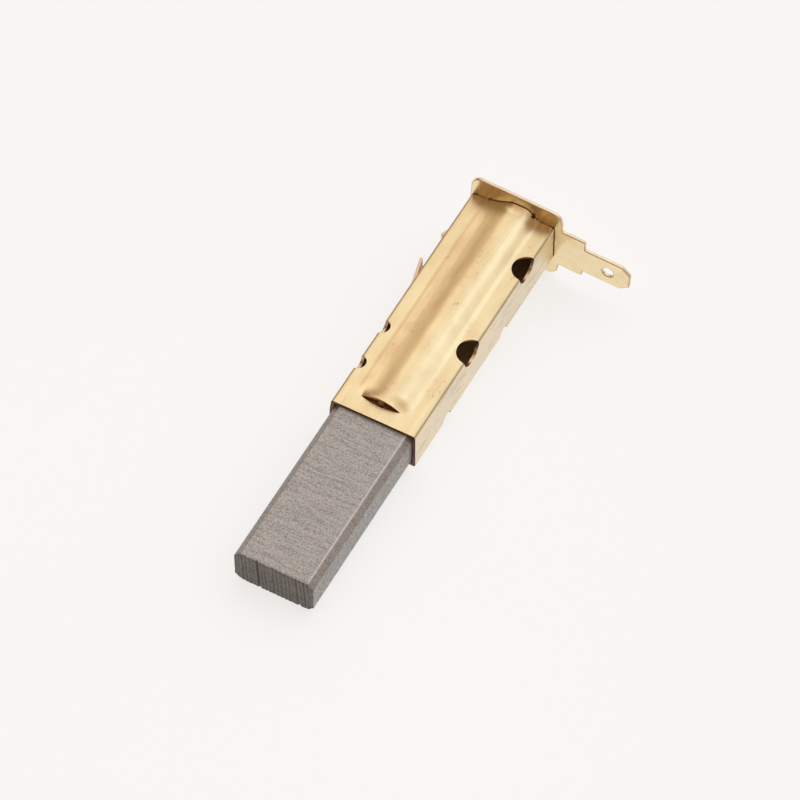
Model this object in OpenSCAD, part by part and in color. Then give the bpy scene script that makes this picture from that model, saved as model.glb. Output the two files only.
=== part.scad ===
// Motor brush in a folded brass holder: a carbon block that slides in a sheet metal
// tube, the spring behind it, its copper shunt, and an end plate with a push-on blade.
//
// The origin is where the holder's axis meets the front face of the end plate.
// +Y runs along the holder to the end plate, +Z is the side with the raised channel,
// and +X is the side where the blade stands out. The mouth is at y = -tube_l.

/* [Holder tube] */
// Outside width of the folded tube
tube_w = 12.7; // [12.2:0.1:14]
// Outside height of the folded tube, without its channel
tube_h = 6.85; // [6.6:0.05:8]
// Length of the tube from its mouth to the end plate
tube_l = 39.2; // [38:0.1:44]
// Thickness of the brass sheet that the tube is folded from
sheet_t = 0.4; // [0.3:0.05:0.5]
// Outside radius of the four folds
fold_r = 0.6; // [0.5:0.05:0.8]
// Gap between the two edges of the sheet, under the tube
seam_gap = 0.15; // [0.05:0.05:0.3]

/* [Raised channel] */
// Width of the channel at the slit
channel_w = 5.9; // [5.5:0.1:6.8]
// Height of the channel above the tube's upper face, at the slit
channel_h = 1.2; // [1.15:0.05:1.5]
// Width of the channel at the end plate
channel_rear_w = 7.5; // [6.5:0.1:7.6]
// Height of the channel above the tube's upper face, at the end plate
channel_rear_h = 1.9; // [1.2:0.05:2.4]
// Outside radius of the channel's two upper edges
channel_r = 1.1; // [0.8:0.05:1.15]
// Distance from the channel's foot to the middle of that round
channel_flank = 1.75; // [1.6:0.05:2.2]
// Distance of the channel to the left of the tube's axis
channel_left = 0.25; // [0:0.05:0.4]
// Length of the flat strip between the mouth and the channel
strip_l = 2.5; // [2:0.1:3]
// Depth of the curved cut that the slit takes out of the strip
slit_bow = 0.45; // [0.2:0.05:0.6]

/* [Holes through the folds] */
// Radius of the two large holes, upper right
large_hole_r = 2.1; // [1.8:0.05:2.3]
// Distance from the mouth to the first large hole
large_hole_first = 15.65; // [14:0.05:17]
// Distance between the large holes
large_hole_pitch = 15.65; // [10:0.05:17]
// Radius of the small holes, upper left and lower right
small_hole_r = 1.2; // [0.9:0.05:1.4]
// Distance from the mouth to the first small hole, upper left
small_hole_first = 7.2; // [6:0.1:8]
// Distance between the small holes, upper left
small_hole_pitch = 6.6; // [5:0.1:8]
// Distance from the mouth to the first small hole, lower right
low_hole_first = 8.8; // [7:0.1:10]
// Distance between the small holes, lower right
low_hole_pitch = 16; // [12:0.1:18]

/* [Clip barbs on the left side] */
// Height of both barbs
barb_h = 2.4; // [2:0.1:3]
// Distance from the mouth to the root of the long barb
long_barb_root = 20.3; // [18:0.1:21]
// Length of the long barb, which points to the end plate
long_barb_l = 7.5; // [6:0.1:8]
// Angle at which the long barb stands out
long_barb_angle = 14; // [8:0.5:18]
// Distance from the end plate to the root of the short barb
short_barb_root = 3.7; // [3:0.1:5]
// Length of the short barb, which points to the mouth
short_barb_l = 3.2; // [2.5:0.1:4]
// Angle at which the short barb stands out
short_barb_angle = 24; // [12:0.5:30]
// Gap that the punch leaves around a barb
barb_gap = 0.12; // [0.05:0.01:0.2]

/* [Ears that hold the end plate] */
// Width of an ear
ear_w = 1.6; // [1.2:0.1:1.8]
// Distance of an ear's middle from the tube's axis
ear_x = 4.6; // [4.5:0.05:4.7]
// Length of an ear that stands out behind the plate
ear_end = 0.35; // [0.2:0.05:0.5]
// Gap between an ear and its slot
ear_gap = 0.05; // [0.02:0.01:0.1]

/* [End plate and blade] */
// Thickness of the end plate and its blade
plate_t = 0.5; // [0.4:0.05:0.8]
// Width of the plate beyond the tube on the left side
plate_left = 0.35; // [0.2:0.05:1]
// Width of the plate beyond the tube on the right side
plate_right = 0.9; // [0.5:0.05:2]
// Height of the plate beyond the tube's faces, above and below
plate_lip = 3.2; // [2:0.1:4]
// Corner radius of the plate
plate_r = 1.7; // [1:0.1:2.2]
// Angle at which the plate and its blade sit on the tube
plate_turn = 3; // [0:0.5:3]
// Height of the wide root of the blade
root_h = 7.5; // [6:0.1:8]
// Length of the root from the plate's edge to the shoulder
root_l = 3.65; // [3:0.05:5]
// Radius of the root's outer corners
root_r = 0.8; // [0.4:0.05:1]
// Distance of the root's middle below the tube's axis
root_drop = 0.3; // [0:0.05:0.6]
// Height of the push-on blade
blade_h = 4.75; // [4:0.05:5]
// Length of the blade from the shoulder to its tip
blade_l = 7.05; // [6:0.05:8]
// Distance of the blade's middle below the tube's axis
blade_drop = 0.62; // [0:0.02:0.8]
// Length of the blade's lead-in chamfer
blade_lead = 1.4; // [1:0.1:2]
// Depth of the lead-in chamfer on each edge
blade_point = 1.15; // [0.5:0.05:1.5]
// Radius of the detent hole in the blade
detent_r = 0.85; // [0.6:0.05:1]
// Distance from the blade's tip to the detent hole
detent_from_tip = 3.35; // [3:0.05:4]

/* [Carbon] */
// Length of the carbon block
carbon_l = 33; // [32.5:0.1:36]
// Distance from the shunt's socket to the carbon's rear end
socket_from_rear = 3.77; // [3:0.01:4]
// Play between the carbon and the tube's narrow sides
side_play = 0.1; // [0.05:0.01:0.15]
// Play between the carbon and the tube's wide faces
face_play = 0.07; // [0.04:0.01:0.1]
// Chamfer along the four long edges
carbon_chamfer = 0.9; // [0.5:0.05:1.2]
// Distance between the ribs across the contact face
serration_pitch = 1.15; // [0.8:0.05:1.5]
// Depth of the grooves between those ribs
serration_depth = 0.28; // [0.1:0.02:0.38]

/* [Shunt and spring] */
// Diameter of the braided copper shunt
shunt_d = 1.1; // [0.9:0.05:1.15]
// Radius of the shunt's bend, at its middle line
shunt_bend = 0.9; // [0.85:0.05:1]
// Radius of the socket in the carbon
socket_r = 1.1; // [1.05:0.05:1.2]
// Depth of the socket
socket_depth = 2.8; // [2.4:0.1:3.2]
// Depth of the tamped copper's top below the carbon's face
tamping_drop = 0.35; // [0.3:0.05:0.5]
// Gap between the shunt and the pieces around it
shunt_gap = 0.03; // [0.02:0.01:0.04]
// Thickness of the shunt's welded foot
foot_t = 0.35; // [0.2:0.05:0.5]
// Gap between the spring and the tube's wide faces
spring_gap = 0.3; // [0.25:0.05:0.4]
// Diameter of the spring wire
spring_wire_d = 0.5; // [0.35:0.05:0.6]
// Number of open turns
open_turns = 11; // [8:1:12]
// Number of closed turns at each end
closed_turns = 1; // [1:1:2]

/* [Hidden] */
$fn = 48;
cut = 0.5; // how far a cutting shape runs past the face that it opens
slice_l = 0.01; // length of a slice that a hull starts or ends with
seat_gap = 0.05; // gap between the spring's ends and what they press on

mouth_y = -tube_l;
inner_w = tube_w - 2 * sheet_t;
inner_h = tube_h - 2 * sheet_t;

channel_y = mouth_y + strip_l;
slit_arc_r = (pow(channel_w / 2, 2) + pow(slit_bow, 2)) / (2 * slit_bow);

plate_w = tube_w + plate_left + plate_right;
plate_h = tube_h + 2 * plate_lip;
plate_x = (plate_right - plate_left) / 2;
shoulder_x = plate_x + plate_w / 2 + root_l;
tip_x = shoulder_x + blade_l;

carbon_w = inner_w - 2 * side_play;
carbon_h = inner_h - 2 * face_play;

// the shunt rises just behind the strip, which stops it and the carbon with it
socket_y = channel_y - slit_bow + shunt_d / 2 + shunt_gap;
carbon_rear_y = socket_y + socket_from_rear;
carbon_front_y = carbon_rear_y - carbon_l;
tamping_z = carbon_h / 2 - tamping_drop;
socket_floor_z = carbon_h / 2 - socket_depth;
shunt_z = carbon_h / 2 + shunt_gap + shunt_d / 2;
foot_r = shunt_z - (inner_h / 2 - spring_gap) - shunt_gap;

spring_r = inner_h / 2 - spring_gap - spring_wire_d / 2;
spring_turns = open_turns + 2 * closed_turns;
spring_start = carbon_rear_y + seat_gap + spring_wire_d / 2;
spring_end = -seat_gap - spring_wire_d / 2;

// A rectangle with round corners, in the drawing plane
module rounded_rect(w, h, r) {
    square([w - 2 * r, h], center = true);
    square([w, h - 2 * r], center = true);
    for (x = [-1, 1], y = [-1, 1])
        translate([x * (w / 2 - r), y * (h / 2 - r)]) circle(r);
}

// Stands a drawing up across the holder and gives it a length along +Y
module along_y(y, length) {
    translate([0, y + length, 0]) rotate([90, 0, 0]) linear_extrude(length) children();
}

// The section of the folded sheet, without its channel
module tube_section() {
    difference() {
        rounded_rect(tube_w, tube_h, fold_r);
        rounded_rect(inner_w, inner_h, fold_r - sheet_t);
        translate([-seam_gap / 2, -tube_h / 2 - cut]) square([seam_gap, sheet_t + 2 * cut]);
    }
}

// The channel's section: two rounds above a wide foot, drawn inwards by inset
module channel_section(w, h, inset) {
    translate([-channel_left, tube_h / 2]) intersection() {
        union() {
            for (x = [-1, 1])
                translate([x * (w / 2 - channel_flank), h - channel_r]) circle(channel_r - inset, $fn = 32);
            translate([inset - w / 2, -2 * sheet_t]) square([w - 2 * inset, 2 * sheet_t - inset / 2]);
        }
        translate([-w / 2, -sheet_t - inset / 2]) square([w, h + 2 * sheet_t]);
    }
}

// The channel's form, which grows from the slit to the end plate; past lengthens both ends
module channel_form(inset, past) {
    hull() {
        along_y(channel_y - past, slice_l) channel_section(channel_w, channel_h, inset);
        along_y(past - slice_l, slice_l) channel_section(channel_rear_w, channel_rear_h, inset);
    }
}

// A hole punched on a fold line before the sheet was folded: half in each face
module fold_hole(side, face, from_mouth, r) {
    translate([side * tube_w / 2, mouth_y + from_mouth, face * tube_h / 2]) {
        cylinder(h = 2 * fold_r, r = r, center = true);
        rotate([0, 90, 0]) cylinder(h = 2 * fold_r, r = r, center = true);
    }
}

module fold_holes() {
    for (n = [0, 1]) {
        fold_hole(1, 1, large_hole_first + n * large_hole_pitch, large_hole_r);
        fold_hole(-1, 1, small_hole_first + n * small_hole_pitch, small_hole_r);
        fold_hole(1, -1, low_hole_first + n * low_hole_pitch, small_hole_r);
    }
}

// The lens-shaped bite that the slit takes out of the flat strip
module slit_bite() {
    intersection() {
        translate([-channel_left, channel_y - slit_bow + slit_arc_r, tube_h / 2])
            cylinder(h = 2 * sheet_t + cut, r = slit_arc_r, center = true, $fn = 180);
        translate([-channel_left - channel_w / 2, channel_y - slit_bow, 0])
            cube([channel_w, slit_bow, tube_h]);
    }
}

// A flap of the left side, bent outwards from its root; way is 1 towards the end plate
module barb(root_y, length, angle, way) {
    reach = [-length * sin(angle), length * cos(angle)];
    thick = [sheet_t * cos(angle), sheet_t * sin(angle)];
    translate([-tube_w / 2, root_y, -barb_h / 2]) mirror([0, way < 0 ? 1 : 0, 0])
        linear_extrude(barb_h)
            polygon([[0, -sheet_t], [0, 0], reach, reach + thick, thick, [sheet_t, 0], [sheet_t, -sheet_t]]);
}

// The window that a barb leaves in the wall
module barb_window(root_y, length, way) {
    translate([-tube_w / 2 - cut, root_y, -barb_h / 2 - barb_gap]) mirror([0, way < 0 ? 1 : 0, 0])
        cube([sheet_t + 2 * cut, length + barb_gap, barb_h + 2 * barb_gap]);
}

// The four ears, or with a gap around them the slots that they pass through
module ears(y, length, gap) {
    for (x = [-1, 1], z = [-1, 1])
        translate([x * ear_x, y + length / 2, z * (tube_h - sheet_t) / 2])
            cube([ear_w + 2 * gap, length, sheet_t + 2 * gap], center = true);
}

module holder_tube() {
    color("#e3c27c") {
        difference() {
            union() {
                along_y(mouth_y, strip_l) tube_section();
                difference() {
                    union() {
                        along_y(channel_y, tube_l - strip_l) tube_section();
                        channel_form(0, 0);
                    }
                    channel_form(sheet_t, cut);
                }
            }
            slit_bite();
            fold_holes();
            barb_window(mouth_y + long_barb_root, long_barb_l, 1);
            barb_window(-short_barb_root, short_barb_l, -1);
        }
        barb(mouth_y + long_barb_root, long_barb_l, long_barb_angle, 1);
        barb(-short_barb_root, short_barb_l, short_barb_angle, -1);
        ears(-sheet_t, sheet_t + plate_t + ear_end, 0);
    }
}

// The outline of the end plate and its blade, one stamping
module plate_outline() {
    edge_x = plate_x + plate_w / 2;
    translate([plate_x, 0]) rounded_rect(plate_w, plate_h, plate_r);
    translate([(edge_x + shoulder_x) / 2 - plate_r / 2, -root_drop])
        rounded_rect(root_l + plate_r, root_h, root_r);
    translate([0, -blade_drop])
        polygon([
            [edge_x, -blade_h / 2],
            [tip_x - blade_lead, -blade_h / 2],
            [tip_x, blade_point - blade_h / 2],
            [tip_x, blade_h / 2 - blade_point],
            [tip_x - blade_lead, blade_h / 2],
            [edge_x, blade_h / 2],
        ]);
}

module terminal_plate() {
    color("#dcb76c")
        difference() {
            rotate([0, plate_turn, 0]) difference() {
                along_y(0, plate_t) plate_outline();
                translate([tip_x - detent_from_tip, plate_t / 2, -blade_drop])
                    rotate([90, 0, 0]) cylinder(h = plate_t + 2 * cut, r = detent_r, center = true);
            }
            ears(-cut, plate_t + 2 * cut, ear_gap);
        }
}

// The chamfered section of the carbon
module carbon_section() {
    x = carbon_w / 2;
    z = carbon_h / 2;
    c = carbon_chamfer;
    polygon([
        [x - c, -z], [x, c - z], [x, z - c], [x - c, z],
        [c - x, z], [-x, z - c], [-x, c - z], [c - x, -z],
    ]);
}

// V grooves from face to face across the contact end
module serrations() {
    half_count = floor((carbon_w / 2 - serration_pitch / 2) / serration_pitch);
    for (n = [-half_count : half_count])
        translate([n * serration_pitch, carbon_front_y, 0])
            rotate([0, 0, 45])
                cube([serration_depth * sqrt(2), serration_depth * sqrt(2), carbon_h + cut], center = true);
}

module carbon_block() {
    color("#8f8880")
        difference() {
            along_y(carbon_front_y, carbon_l) carbon_section();
            serrations();
            translate([-channel_left, socket_y, socket_floor_z])
                cylinder(h = socket_depth + cut, r = socket_r);
        }
}

// Copper powder pressed around the end of the shunt
module shunt_tamping() {
    color("#a8663f")
        translate([-channel_left, socket_y, 0])
            difference() {
                translate([0, 0, socket_floor_z]) cylinder(h = tamping_z - socket_floor_z, r = socket_r);
                translate([0, 0, socket_floor_z + shunt_gap])
                    cylinder(h = socket_depth + cut, r = shunt_d / 2 + shunt_gap);
            }
}

// A round bar swept along a list of points, closed at both ends; each ring faces
// halfway between the two stretches that meet there
function unit(v) = v / norm(v);
function heading(path, n) =
    unit(path[min(n + 1, len(path) - 1)] - path[max(n - 1, 0)]);
function ring(path, n, r, sides, side_dir) =
    let (f = heading(path, n), u = unit(cross(f, side_dir)), v = cross(u, f))
    [for (k = [0 : sides - 1]) path[n] + r * (cos(360 * k / sides) * u + sin(360 * k / sides) * v)];

module swept_bar(path, r, sides, side_dirs) {
    rings = len(path);
    points = [for (n = [0 : rings - 1]) each ring(path, n, r, sides, side_dirs[n])];
    walls = [
        for (n = [0 : rings - 2], k = [0 : sides - 1])
            let (a = n * sides + k, b = n * sides + (k + 1) % sides)
            each [[a, b, b + sides], [a, b + sides, a + sides]]
    ];
    front = [[for (k = [sides - 1 : -1 : 0]) k]];
    back = [[for (k = [0 : sides - 1]) (rings - 1) * sides + k]];
    polyhedron(points, concat(front, walls, back), convexity = 10);
}

// Up out of the socket, round one bend and straight down the channel to the end plate
module shunt_wire() {
    bend_z = shunt_z - shunt_bend;
    bend = [for (a = [0 : 15 : 90])
        [-channel_left, socket_y + shunt_bend * (1 - cos(a)), bend_z + shunt_bend * sin(a)]];
    run_end = -foot_t / 2;
    run = [for (n = [1 : 8])
        [-channel_left, socket_y + shunt_bend + (run_end - socket_y - shunt_bend) * n / 8, shunt_z]];
    path = concat([[-channel_left, socket_y, socket_floor_z + 2 * shunt_gap]], bend, run);
    color("#b5693c") {
        swept_bar(path, shunt_d / 2, 12, [for (p = path) [1, 0, 0]]);
        translate([-channel_left, -foot_t, shunt_z]) rotate([-90, 0, 0]) cylinder(h = foot_t, r = foot_r);
    }
}

// How far along the spring a turn lies: the closed turns touch, the open ones share the rest
function spring_y(turn) =
    let (
        closed = closed_turns * spring_wire_d,
        open_pitch = (spring_end - spring_start - 2 * closed) / open_turns
    )
    turn < closed_turns ? spring_start + turn * spring_wire_d
    : turn > closed_turns + open_turns ? spring_end - (spring_turns - turn) * spring_wire_d
    : spring_start + closed + (turn - closed_turns) * open_pitch;

module brush_spring() {
    steps = 20;
    path = [for (n = [0 : spring_turns * steps])
        let (a = 360 * n / steps)
        [spring_r * sin(a), spring_y(n / steps), spring_r * cos(a)]];
    color("#b9b4aa")
        swept_bar(path, spring_wire_d / 2, 8, [for (p = path) [0, 1, 0]]);
}

holder_tube();
terminal_plate();
carbon_block();
shunt_tamping();
shunt_wire();
brush_spring();
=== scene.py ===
# %% [markdown]
# # Dressing a spring-loaded motor brush
# A motor brush of this kind is a block of pressed carbon that slides in a folded brass
# tube. A spring pushes it out, a copper braid carries the current, and an end plate with
# a push-on blade joins it to the motor's wiring. The sizes and the motion come from a
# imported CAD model, which is loaded first and never changed. This lesson gives each piece
# the look of the real one.

# %% Load the frame
import math
import random

import bpy
import numpy as np
from mathutils import Matrix, Vector, noise
from mathutils.geometry import delaunay_2d_cdt


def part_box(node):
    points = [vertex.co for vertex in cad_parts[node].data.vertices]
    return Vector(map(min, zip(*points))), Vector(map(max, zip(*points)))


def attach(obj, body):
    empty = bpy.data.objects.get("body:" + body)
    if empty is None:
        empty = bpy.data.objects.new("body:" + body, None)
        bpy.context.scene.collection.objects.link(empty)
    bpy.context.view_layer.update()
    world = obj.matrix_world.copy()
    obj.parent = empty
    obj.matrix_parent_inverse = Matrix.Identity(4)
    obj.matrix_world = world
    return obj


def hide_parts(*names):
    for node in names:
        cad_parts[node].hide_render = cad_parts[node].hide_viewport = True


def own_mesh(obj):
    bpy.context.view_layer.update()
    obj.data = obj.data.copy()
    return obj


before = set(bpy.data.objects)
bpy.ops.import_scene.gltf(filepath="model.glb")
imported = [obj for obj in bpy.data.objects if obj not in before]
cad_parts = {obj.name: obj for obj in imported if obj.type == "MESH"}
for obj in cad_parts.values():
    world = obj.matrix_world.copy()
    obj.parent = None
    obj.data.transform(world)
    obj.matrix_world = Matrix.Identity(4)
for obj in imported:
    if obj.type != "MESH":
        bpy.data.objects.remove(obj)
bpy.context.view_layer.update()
MM = 0.001

# %% [markdown]
# Every driving size is read from the CAD boxes, in millimetres here because the details
# are tenths of a millimetre. What the boxes can't tell, such as a fold's radius or a
# hole's place along the tube, has a name of its own below.

# %% Sizes of the holder, the plate and the carbon


def box_mm(node):
    low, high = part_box(node)
    return low / MM, high / MM


tube_low, tube_high = box_mm("holder_tube")
plate_low, plate_high = box_mm("terminal_plate")
carbon_low, carbon_high = box_mm("carbon_block")

HALF_W = tube_high.x  # the barbs stand out on the left, so the right side gives the width
HALF_H = -tube_low.z
MOUTH_Y = tube_low.y
EAR_Y = tube_high.y
SHEET = 0.4
FOLD_R = 0.45
SEAM = 0.15
STRIP = 2.5
PLATE_T = plate_high.y
CHANNEL_Y = MOUTH_Y + STRIP
CHANNEL_REAR_H = tube_high.z - HALF_H
print(f"tube {2 * HALF_W:.2f} x {2 * HALF_H:.2f} mm, {-MOUTH_Y:.1f} mm long")
print(f"carbon {carbon_high.y - carbon_low.y:.1f} mm, {MOUTH_Y - carbon_low.y:.1f} mm out")

# %% [markdown]
# ## The camera and the floor
# The brush lies on a table: the end plate's lower edge lifts its rear, and the carbon's
# front edge rests on the table. So the floor is a plane through those two edges, a little
# tilted in the holder's frame. The camera looks down from the right front with a long
# lens, which keeps the perspective flat.

# %% Camera
CAMERA_AZIMUTH = math.radians(28.82)
CAMERA_ELEVATION = math.radians(54.94)
CAMERA_ROLL = math.radians(-0.12)
CAMERA_DISTANCE = 662.4
CAMERA_AIM = Vector((0.582, MOUTH_Y + 6.28, 0.239))
LENS = 225.0
SENSOR = 36.0


def view_axes(azimuth, elevation, roll):
    """Right, up and backward of a camera that looks at the object from that direction."""
    forward = Vector((
        -math.sin(azimuth) * math.cos(elevation),
        math.cos(azimuth) * math.cos(elevation),
        -math.sin(elevation),
    ))
    right = Vector((math.cos(azimuth), math.sin(azimuth), 0.0))
    up = right.cross(forward)
    turn = Matrix.Rotation(-roll, 3, forward)
    return turn @ right, turn @ up, -forward


right, up, back = view_axes(CAMERA_AZIMUTH, CAMERA_ELEVATION, CAMERA_ROLL)
camera_data = bpy.data.cameras.new("camera")
camera_data.lens = LENS
camera_data.sensor_width = SENSOR
camera_data.clip_start, camera_data.clip_end = 0.01, 100.0
camera = bpy.data.objects.new("camera", camera_data)
camera.matrix_world = Matrix.Translation((CAMERA_AIM + back * CAMERA_DISTANCE) * MM) @ Matrix(
    (right, up, back)
).transposed().to_4x4()
bpy.context.scene.collection.objects.link(camera)
bpy.context.scene.camera = camera
print("camera at", [round(v, 4) for v in camera.location])

# %% [markdown]
# ## Small helpers for node trees
# Shader trees and geometry trees are built the same way: make a node, set its values,
# and link what feeds it. One helper does that, and a second one makes the arithmetic
# nodes, so that a formula reads like a formula.

# %% Node helpers


def add_node(tree, kind, inputs=None, **settings):
    """A node with its settings, and its inputs linked or set by name or number."""
    made = tree.nodes.new(kind)
    for key, value in settings.items():
        setattr(made, key, value)
    for key, value in (inputs or {}).items():
        if isinstance(value, bpy.types.NodeSocket):
            tree.links.new(value, made.inputs[key])
        else:
            made.inputs[key].default_value = value
    return made


def calc(tree, operation, *values, clamp=False):
    """The result of one arithmetic node."""
    inputs = dict(enumerate(values))
    return add_node(tree, "ShaderNodeMath", inputs, operation=operation, use_clamp=clamp).outputs[0]


def spread(tree, value, from_low, from_high, to_low=0.0, to_high=1.0):
    """The value taken from one range to another, and held at its ends."""
    inputs = {"Value": value, "From Min": from_low, "From Max": from_high}
    inputs |= {"To Min": to_low, "To Max": to_high}
    return add_node(tree, "ShaderNodeMapRange", inputs, clamp=True).outputs["Result"]


def blend_colour(tree, factor, first, second, blend_type="MIX"):
    """Two colours mixed by a factor. The node's colours are its inputs 6 and 7."""
    made = add_node(tree, "ShaderNodeMix", data_type="RGBA", blend_type=blend_type)
    for socket, value in ((made.inputs["Factor"], factor), (made.inputs[6], first), (made.inputs[7], second)):
        if isinstance(value, bpy.types.NodeSocket):
            tree.links.new(value, socket)
        else:
            socket.default_value = value if isinstance(value, float) else (*value, 1.0)
    return made.outputs[2]


def scaled_position(tree, x, y, z):
    """Object coordinates, stretched so that a pattern runs along one axis."""
    place = add_node(tree, "ShaderNodeTexCoord").outputs["Object"]
    return add_node(tree, "ShaderNodeMapping", {"Vector": place, "Scale": (x, y, z)}).outputs["Vector"]


def noise_at(tree, vector, scale, detail=3.0, roughness=0.5):
    """Soft noise, around 0.5."""
    inputs = {"Vector": vector, "Scale": scale, "Detail": detail, "Roughness": roughness}
    return add_node(tree, "ShaderNodeTexNoise", inputs).outputs["Fac"]


# %% [markdown]
# ## Shared surface effects
# Effects that show on more than one finish are node groups, which a material places with
# its own values. The groups put out only masks and heights, and the shader stays in the
# material. *Drawn lines* are the fine lines that rolling and drawing leave along a sheet.
# *Handling marks* are the blotches, specks, shallow dents and small pits of a part that
# has lain in a box.

# %% Lines and handling marks


def new_group(name, inputs, outputs):
    """An empty shader group with number inputs and outputs."""
    group = bpy.data.node_groups.new(name, "ShaderNodeTree")
    for label, value in inputs.items():
        socket = group.interface.new_socket(label, in_out="INPUT", socket_type="NodeSocketFloat")
        socket.default_value = value
    for label in outputs:
        group.interface.new_socket(label, in_out="OUTPUT", socket_type="NodeSocketFloat")
    return group, add_node(group, "NodeGroupInput").outputs, add_node(group, "NodeGroupOutput").inputs


def drawn_lines_group():
    group, given, result = new_group("drawn lines", {"Fineness": 1.0}, ["Height"])
    lines = scaled_position(group, 9000.0, 90.0, 9000.0)
    fine = noise_at(group, lines, given["Fineness"], 2.0)
    broad = noise_at(group, scaled_position(group, 1500.0, 40.0, 1500.0), given["Fineness"], 2.0)
    height = calc(group, "MULTIPLY_ADD", fine, 0.5, calc(group, "MULTIPLY", broad, 0.5))
    group.links.new(height, result["Height"])
    return group


def handling_group():
    group, given, result = new_group(
        "handling marks", {"Blotch size": 300.0, "Speck size": 1500.0}, ["Blotch", "Speck", "Dent", "Height"]
    )
    place = scaled_position(group, 1.0, 0.55, 1.0)
    blotch = noise_at(group, place, given["Blotch size"], 4.0, 0.6)
    group.links.new(spread(group, blotch, 0.38, 0.68), result["Blotch"])
    group.links.new(noise_at(group, place, given["Blotch size"], 0.0), result["Dent"])
    cells = add_node(
        group, "ShaderNodeTexVoronoi", {"Vector": place, "Scale": given["Speck size"], "Randomness": 1.0}
    ).outputs["Distance"]
    chosen = spread(group, noise_at(group, place, given["Blotch size"], 2.0), 0.54, 0.62)
    speck = calc(group, "MULTIPLY", spread(group, cells, 0.22, 0.08), chosen)
    group.links.new(speck, result["Speck"])
    group.links.new(calc(group, "MULTIPLY_ADD", speck, -1.0, blotch), result["Height"])
    return group


EFFECTS = {"lines": drawn_lines_group(), "marks": handling_group()}
print("effect groups:", [group.name for group in EFFECTS.values()])

# %% [markdown]
# *Scuffs* are the broken streaks that come from pushing the tube into a tight housing.
# A noise that is stretched along Y makes them, and a coarser one keeps them in patches.
# *Nicks* are short curved scratches. They come from the contour line of a noise, which is
# thin and never straight.

# %% Scuffs and nicks


def scuffs_group():
    """Broken streaks along Y, a millimetre or two long, in patches."""
    group, given, result = new_group("scuffs", {"Width": 4500.0, "Length": 320.0}, ["Mask", "Height"])
    fineness = {"X": given["Width"], "Y": given["Length"], "Z": given["Width"]}
    stretch = add_node(group, "ShaderNodeCombineXYZ", fineness)
    position = add_node(group, "ShaderNodeTexCoord").outputs["Object"]
    place = add_node(
        group, "ShaderNodeVectorMath", {0: position, 1: stretch.outputs["Vector"]}, operation="MULTIPLY"
    ).outputs["Vector"]
    streak = spread(group, noise_at(group, place, 1.0, 2.0, 0.6), 0.45, 0.35)
    patch = spread(group, noise_at(group, scaled_position(group, 1.0, 0.4, 1.0), 600.0, 3.0), 0.45, 0.6)
    mask = calc(group, "MULTIPLY", streak, patch)
    group.links.new(mask, result["Mask"])
    group.links.new(calc(group, "MULTIPLY", mask, -1.0), result["Height"])
    return group


def nicks_group():
    """Short curved scratches: thin contours of one noise, kept only where a second one is high."""
    group, given, result = new_group("nicks", {"Size": 420.0, "Amount": 0.5}, ["Mask", "Height"])
    place = scaled_position(group, 1.0, 0.6, 1.3)
    level = calc(group, "SUBTRACT", noise_at(group, place, given["Size"], 1.0), 0.5)
    contour = calc(group, "ABSOLUTE", level)
    line = spread(group, contour, 0.008, 0.002)
    threshold = spread(group, given["Amount"], 0.0, 1.0, 0.8, 0.5)
    chosen = calc(group, "GREATER_THAN", noise_at(group, place, 800.0, 0.0), threshold)
    mask = calc(group, "MULTIPLY", line, chosen)
    group.links.new(mask, result["Mask"])
    group.links.new(calc(group, "MULTIPLY", mask, -1.0), result["Height"])
    return group


EFFECTS |= {"scuffs": scuffs_group(), "nicks": nicks_group()}
print("with", EFFECTS["scuffs"].name, "and", EFFECTS["nicks"].name)

# %% [markdown]
# *Grain* is the sandy structure of pressed powder, with short streaks across the block
# where a saw has drawn the powder out.

# %% Grain


def grain_group():
    sizes = {"Size": 4500.0, "Streak": 3000.0}
    group, given, result = new_group("grain", sizes, ["Grain", "Streak", "Height"])
    place = scaled_position(group, 1.0, 1.0, 1.0)
    grain = noise_at(group, place, given["Size"], 3.0, 0.6)
    group.links.new(spread(group, grain, 0.36, 0.64), result["Grain"])
    across = scaled_position(group, 0.1, 1.0, 0.3)
    streak = noise_at(group, across, given["Streak"], 2.0, 0.5)
    group.links.new(spread(group, streak, 0.38, 0.62), result["Streak"])
    height = calc(group, "MULTIPLY_ADD", streak, 0.6, calc(group, "MULTIPLY", grain, 0.4))
    group.links.new(height, result["Height"])
    return group


EFFECTS["grain"] = grain_group()
print("with", EFFECTS["grain"].name)

# %% [markdown]
# ## The finishes
# Rolled brass is a metal, so its colour is in its reflection. Old sheet isn't evenly
# bright: a thin brown film makes blotches, and the reflection is blurred more where the
# surface is rubbed. The same recipe, with other colours and amounts, gives the outside
# of the tube, the stamped plate, the sheared edges and the dull inside. Where the sheet
# isn't the same all over, a mesh says so with a number at each of its points: one darkens
# the metal along the folds and paints shade beside the plate and around the notch, and
# *rub* makes it pale and scuffed.

# %% Finish helpers


def effect(tree, name, **values):
    """Places one of the effect groups, with its own values."""
    labels = {key.replace("_", " "): value for key, value in values.items()}
    return add_node(tree, "ShaderNodeGroup", labels, node_tree=EFFECTS[name]).outputs


def new_material(name):
    material = bpy.data.materials.new(name)
    material.use_nodes = True
    tree = material.node_tree
    shader = tree.nodes["Principled BSDF"]
    return material, tree, shader


def bump(tree, height, strength, distance_mm, normal=None):
    inputs = {"Height": height, "Strength": strength, "Distance": distance_mm * MM}
    if normal is not None:
        inputs["Normal"] = normal
    return add_node(tree, "ShaderNodeBump", inputs).outputs["Normal"]


def mesh_value(tree, name):
    """The number that a mesh stores under a name, or 0 on a mesh that has none."""
    return add_node(tree, "ShaderNodeAttribute", attribute_name=name).outputs["Fac"]


def covered(tree, colour, mask, amount, cover):
    """A colour with another one over it where the mask is high, up to an amount."""
    return blend_colour(tree, calc(tree, "MULTIPLY", mask, amount), colour, cover)


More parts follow.
